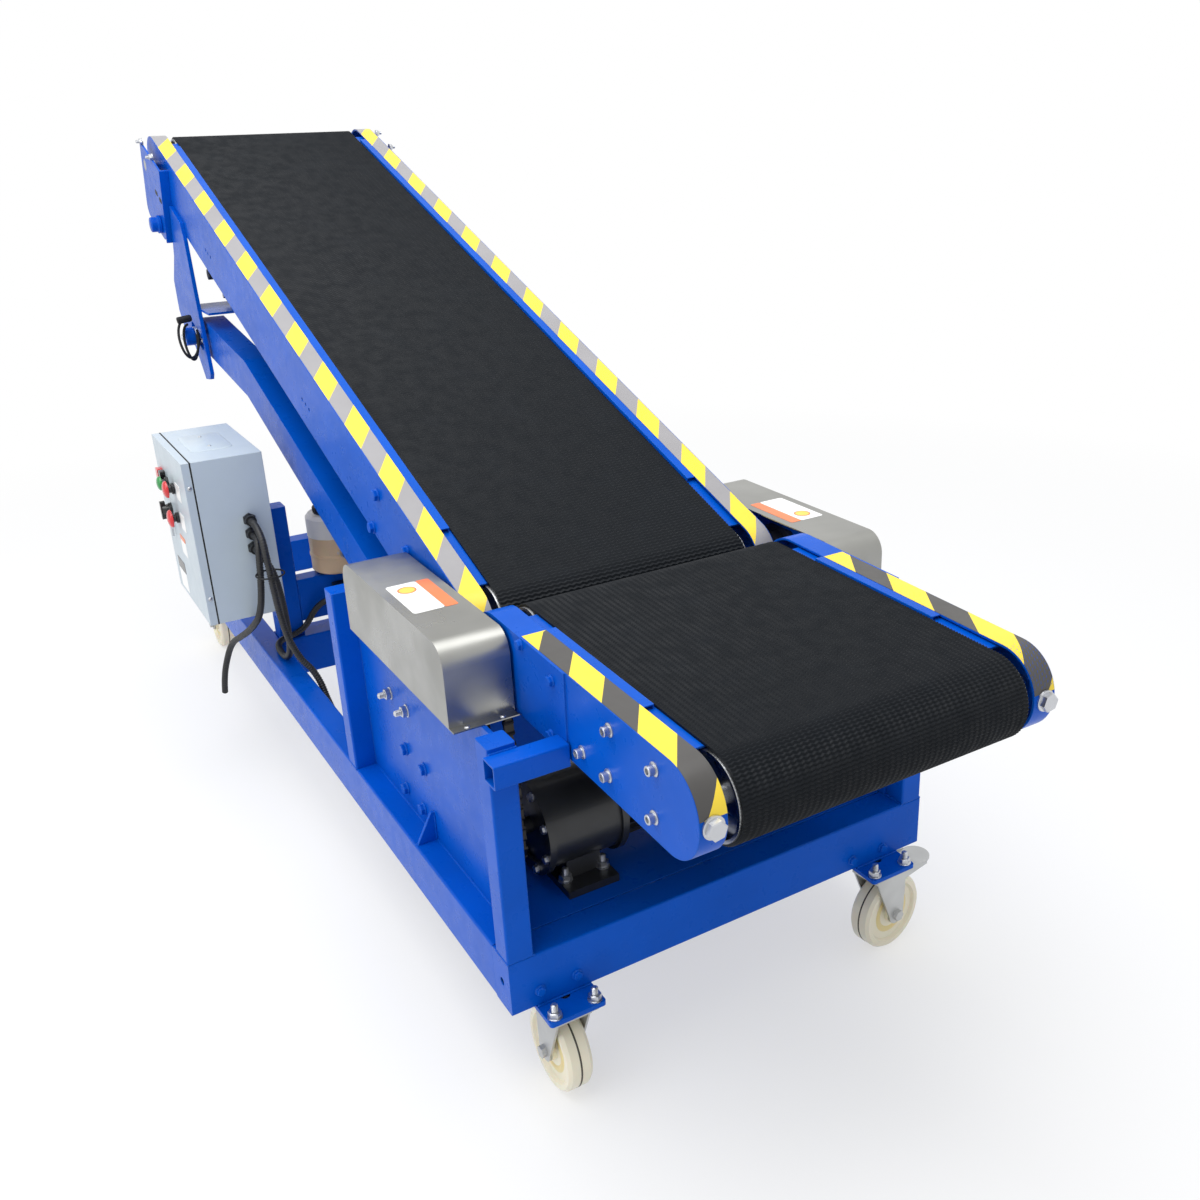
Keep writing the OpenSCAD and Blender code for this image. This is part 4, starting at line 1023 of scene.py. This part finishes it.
@dataclass
class CableTie:
    """Strap that holds the cabinet's three conduits together, in millimetres of the base's frame."""

    centre: Point = (-1224, -424, 560)
    reach: Flat = (31, 31)
    steps: int = 28

    def make(self) -> None:
        """Makes the strap and its lock."""
        x, y, z = self.centre
        turns = [2 * math.pi * k / self.steps for k in range(self.steps + 1)]
        path = [Vector((x + self.reach[0] * math.cos(a), y + self.reach[1] * math.sin(a), z)) for a in turns]
        piece = Piece("cable_tie", "base")
        piece.tube(path, lambda i: 2, 6, GASKET)
        piece.block((x + 28, y - 5, z - 4), (x + 35, y + 5, z + 4), GASKET)
        piece.make("conduit_black")


@dataclass
class PowerUnit:
    """Hydraulic power unit on the control posts: tank, ring cap, valve block and hose fittings."""

    centre: Flat = (-1483, -200)
    foot: float = 448
    height: float = 150
    radius: float = 62

    def make(self) -> None:
        """Makes the unit and the fitting at the cylinder's end of the hose."""
        piece = Piece("hydraulic_unit", "base")
        at = Matrix.Translation((*self.centre, self.foot))
        r, h = self.radius, self.height
        piece.lathe([(r - 6, 0), (r, 6), (r, 40), (r + 1.5, 42), (r + 1.5, 48), (r, 50), (r, h * 0.62)],
                    48, TANK, at)
        piece.lathe([(r, h * 0.62), (r + 1, h * 0.62 + 1), (r + 1, h - 8), (r - 6, h)], 48, TANK_WHITE, at)
        piece.lathe([(40, h - 1), (42, h + 3), (42, h + 16), (38, h + 20)], 40, GASKET, at)
        for k in range(20):
            turn = Matrix.Rotation(k * math.pi / 10, 4, "Z")
            piece.block((41, -2, h + 4), (43, 2, h + 15), GASKET, at @ turn)
        out = facing((-1430, -200, 505), (1, 0, 0))
        piece.lathe([(14, -4), (14, 8)], 6, ZINC, out)
        piece.lathe([(10, 8), (10, 29)], 24, ZINC, out)
        piece.block((-1513, -230, 443), (-1453, -170, 450), MOTOR, edge=6)
        piece.block((-1458, -230, 350), (-1408, -170, 420), MOTOR, edge=4)
        for z in (362, 408):
            for y in (-220, -180):
                CAP.put(piece, (-1408, y, z), (1, 0, 0))
        piece.block((-830, -125, 298), (-770, -95, 348), ZINC, edge=3)
        piece.lathe([(11, -1), (11, 5)], 6, ZINC, facing((-830, -110, 324), (-1, 0, 0)))
        piece.make("tank_paint", replaces=["power_unit"])


@dataclass
class CasterTrim:
    """Fasteners and wheel seams of the four casters, in millimetres of the base's frame."""

    casters: tuple[tuple[float, float, float], ...] = ((0, -335, 180), (0, 325, 98), (-2200, -377, 180),
                                                       (-2200, 377, 158))
    trail: float = 30
    radius: float = 75
    pad_top: float = 198
    front_studs: float = 36

    def make(self) -> None:
        """Makes the trim of each caster."""
        for i, (x, y, turn) in enumerate(self.casters, 1):
            fork = BASE @ Matrix.Translation((x, y, 0)) @ Matrix.Rotation(math.radians(turn), 4, "Z")
            wheel = Piece(f"wheel_seam_{i}", f"caster_wheel_{i}", fork)
            axle = facing((self.trail, 0, self.radius), (0, 1, 0))
            r = self.radius
            wheel.lathe([(r - 3, -1.8), (r + 0.25, -1.6), (r + 0.25, 1.6), (r - 3, 1.8)], 64, SEAM, axle)
            for s in (-1, 1):
                side = facing((self.trail, 0, self.radius), (0, s, 0))
                wheel.lathe([(30, 15.5), (33, 17.5), (38, 18.2), (42, 17.2), (44, 16.2)], 48, HUB, side)
            wheel.make("wheel_nylon")
        piece = Piece("pad_fixings", "base")
        for x, y, _ in self.casters:
            edge = 36 if x == 0 else -36
            for dy in (-self.front_studs, self.front_studs):
                ZINC_STUD.put(piece, (x + edge, y + dy, self.pad_top), (0, 0, 1), 10 * dy)
        piece.make("zinc")
        front = Piece("front_tube_bolts", "base")
        for y, z in ((-377, 228), (-311, 228), (264, 221), (337, 221)):
            PAINTED_SMALL.put(front, (0, y, z), (1, 0, 0), 20)
        front.make("blue_paint")
        welds = Piece("pad_welds", "base")
        for y in (-335, 325):
            welds.weld((1, y - 48, self.pad_top + 1), (1, y + 48, self.pad_top + 1), 2.6)
        welds.make("blue_paint", smooth=60)


@dataclass
class MotorTrim:
    """Case bolts, terminal box lid and foot studs of the geared motors, in millimetres."""

    feed: Point = (-190, -294, 402)
    head: Point = (-2065, -237, 1128)

    def case_bolts(self, piece: Piece, centre: Point, radius: float) -> None:
        """Adds a ring of bolts on a gear case's end face."""
        x, y, z = centre
        for k in range(8):
            a = math.radians(22.5 + 45 * k)
            ZINC_SMALL.put(piece, (x + radius * math.cos(a), y, z + radius * math.sin(a)), (0, -1, 0), 9 * k)

    def make(self) -> None:
        """Makes the trim of both motors."""
        feed = Piece("feed_motor_trim", "base")
        self.case_bolts(feed, self.feed, 76)
        x, y, z = self.feed
        for dx in (-80, 60):
            for dy in (36, 108):
                ZINC_STUD.put(feed, (x + dx, y + dy, 312), (0, 0, 1), 15)
        feed.block((x - 47, y + 188, z + 92), (x + 47, y + 272, z + 97), MOTOR, edge=6)
        feed.make("motor_black")
        head = Piece("head_motor_trim", "boom")
        self.case_bolts(head, self.head, 67)
        x, y, z = self.head
        head.block((x - 47, y + 168, z - 87), (x + 47, y + 252, z - 82), MOTOR, edge=6)
        head.make("motor_black")


@dataclass
class Stage:
    """Pale floor and soft light."""

    floor_size: float = 60
    floor_tone: float = 0.9
    world_strength: float = 0.7

    def make(self) -> None:
        """Makes the floor, the world and the lamps."""
        self.make_floor()
        self.make_world()
        self.lamp("top_light", (0.2, -0.6, 4.2), (0, 0, 0.4), 4.0, 150)
        self.lamp("side_light", (0.8, -4.2, 2.6), (0, 0, 0.6), 3.0, 38)
        bpy.context.scene.view_settings.view_transform = "Standard"

    def seen(self, nodes: Nodes) -> bpy.types.NodeSocket:
        """One for camera, glossy and transmission rays."""
        rays = nodes.add("ShaderNodeLightPath")
        total = nodes.add("ShaderNodeMath", operation="ADD", use_clamp=True)
        more = nodes.add("ShaderNodeMath", operation="ADD", use_clamp=True)
        nodes.join(rays.outputs["Is Camera Ray"], total, 0)
        nodes.join(rays.outputs["Is Glossy Ray"], total, 1)
        nodes.join(total.outputs[0], more, 0)
        nodes.join(rays.outputs["Is Transmission Ray"], more, 1)
        return more.outputs[0]

    def make_floor(self) -> None:
        """Makes the floor: matt near the object, plain white further out."""
        mesh = bpy.data.meshes.new("floor")
        s = self.floor_size / 2
        mesh.from_pydata([(-s, -s, -0.001), (s, -s, -0.001), (s, s, -0.001), (-s, s, -0.001)], [], [(0, 1, 2, 3)])
        floor = bpy.data.objects.new("floor", mesh)
        bpy.context.scene.collection.objects.link(floor)
        material = bpy.data.materials.new("floor_pale")
        nodes = Nodes(material)
        nodes.set("Base Color", (self.floor_tone,) * 3 + (1,))
        nodes.set("Roughness", 0.9)
        white = nodes.add("ShaderNodeEmission")
        white.inputs["Strength"].default_value = 1
        reach = nodes.add("ShaderNodeVectorMath", operation="LENGTH")
        nodes.join(nodes.where, reach, 0)
        far = nodes.between(reach.outputs["Value"], 0.55, 1, 1.4, 4)
        share = nodes.add("ShaderNodeMath", operation="MULTIPLY")
        nodes.join(self.seen(nodes), share, 0)
        nodes.join(far, share, 1)
        mix = nodes.add("ShaderNodeMixShader")
        nodes.join(share.outputs[0], mix, 0)
        nodes.join(nodes.shader.outputs["BSDF"], mix, 1)
        nodes.join(white.outputs[0], mix, 2)
        nodes.join(mix.outputs[0], nodes.out, "Surface")
        mesh.materials.append(material)

    def make_world(self) -> None:
        """Makes the even light from all round, seen as white."""
        world = bpy.data.worlds.new("studio")
        world.use_nodes = True
        tree = world.node_tree
        rays = tree.nodes.new("ShaderNodeLightPath")
        shade = tree.nodes["Background"]
        shade.inputs["Color"].default_value = (0.95, 0.97, 1, 1)
        shade.inputs["Strength"].default_value = self.world_strength
        white = tree.nodes.new("ShaderNodeBackground")
        white.inputs["Color"].default_value = (1, 1, 1, 1)
        white.inputs["Strength"].default_value = 1
        total = tree.nodes.new("ShaderNodeMath")
        total.use_clamp = True
        more = tree.nodes.new("ShaderNodeMath")
        more.use_clamp = True
        mix = tree.nodes.new("ShaderNodeMixShader")
        tree.links.new(rays.outputs["Is Camera Ray"], total.inputs[0])
        tree.links.new(rays.outputs["Is Glossy Ray"], total.inputs[1])
        tree.links.new(total.outputs[0], more.inputs[0])
        tree.links.new(rays.outputs["Is Transmission Ray"], more.inputs[1])
        tree.links.new(more.outputs[0], mix.inputs[0])
        tree.links.new(shade.outputs[0], mix.inputs[1])
        tree.links.new(white.outputs[0], mix.inputs[2])
        tree.links.new(mix.outputs[0], tree.nodes["World Output"].inputs["Surface"])
        bpy.context.scene.world = world

    def lamp(self, name: str, place: Point, target: Point, size: float, power: float) -> None:
        """Adds a square soft lamp.

        Args:
            name: Its name.
            place: Where it hangs, in metres.
            target: The point that it faces.
            size: Side of its square.
            power: Its power in watts.
        """
        light = bpy.data.lights.new(name, "AREA")
        light.size = size
        light.energy = power
        lamp = bpy.data.objects.new(name, light)
        ahead = Vector(target) - Vector(place)
        lamp.matrix_world = Matrix.Translation(place) @ ahead.to_track_quat("-Z", "Y").to_matrix().to_4x4()
        bpy.context.scene.collection.objects.link(lamp)


def dress_nodes() -> None:
    """Gives each solid of the frame the finish of its slot."""
    for name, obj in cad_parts.items():
        for slot in obj.material_slots:
            finish = SLOTS[slot.material.name.split(".")[0]]
            if name.startswith(PRESSED_NODES):
                finish = PRESSED
            slot.material = finish.material()


def main() -> None:
    """Builds the camera, the cords, the dressing and the stage in order."""
    logging.basicConfig(level=logging.INFO, format="%(name)s %(message)s")
    ViewPoint().make()
    for cord in cords():
        cord.make()
    Stage().make()
    dress_nodes()
    RibbedBelt("feed_belt_ribbed", "feed_belt", "base", FEED, -210, 315, 68).make()
    RibbedBelt("boom_belt_ribbed", "boom_belt", "boom", BOOM, -2102, 0, 69.5,
              rib_pitch=8, wave=1.2, waves=38).make()
    HazardTape("feed_tape", "base", FEED, -210, 305, 70, -112, 400, (40, 3), 94.5, TAPE_DARK, 311).make()
    HazardTape("boom_tape", "boom", BOOM, -2102, 0, 73.5, -2180, 60, (-1111, -665), 92).make()
    SideFrames().make()
    CoverLabel().make()
    FeedFittings().make()
    BoomFittings().make()
    ArmEnd().make()
    CabinetTrim().make()
    CableTie().make()
    PowerUnit().make()
    CasterTrim().make()
    MotorTrim().make()


if __name__ == "__main__":
    main()
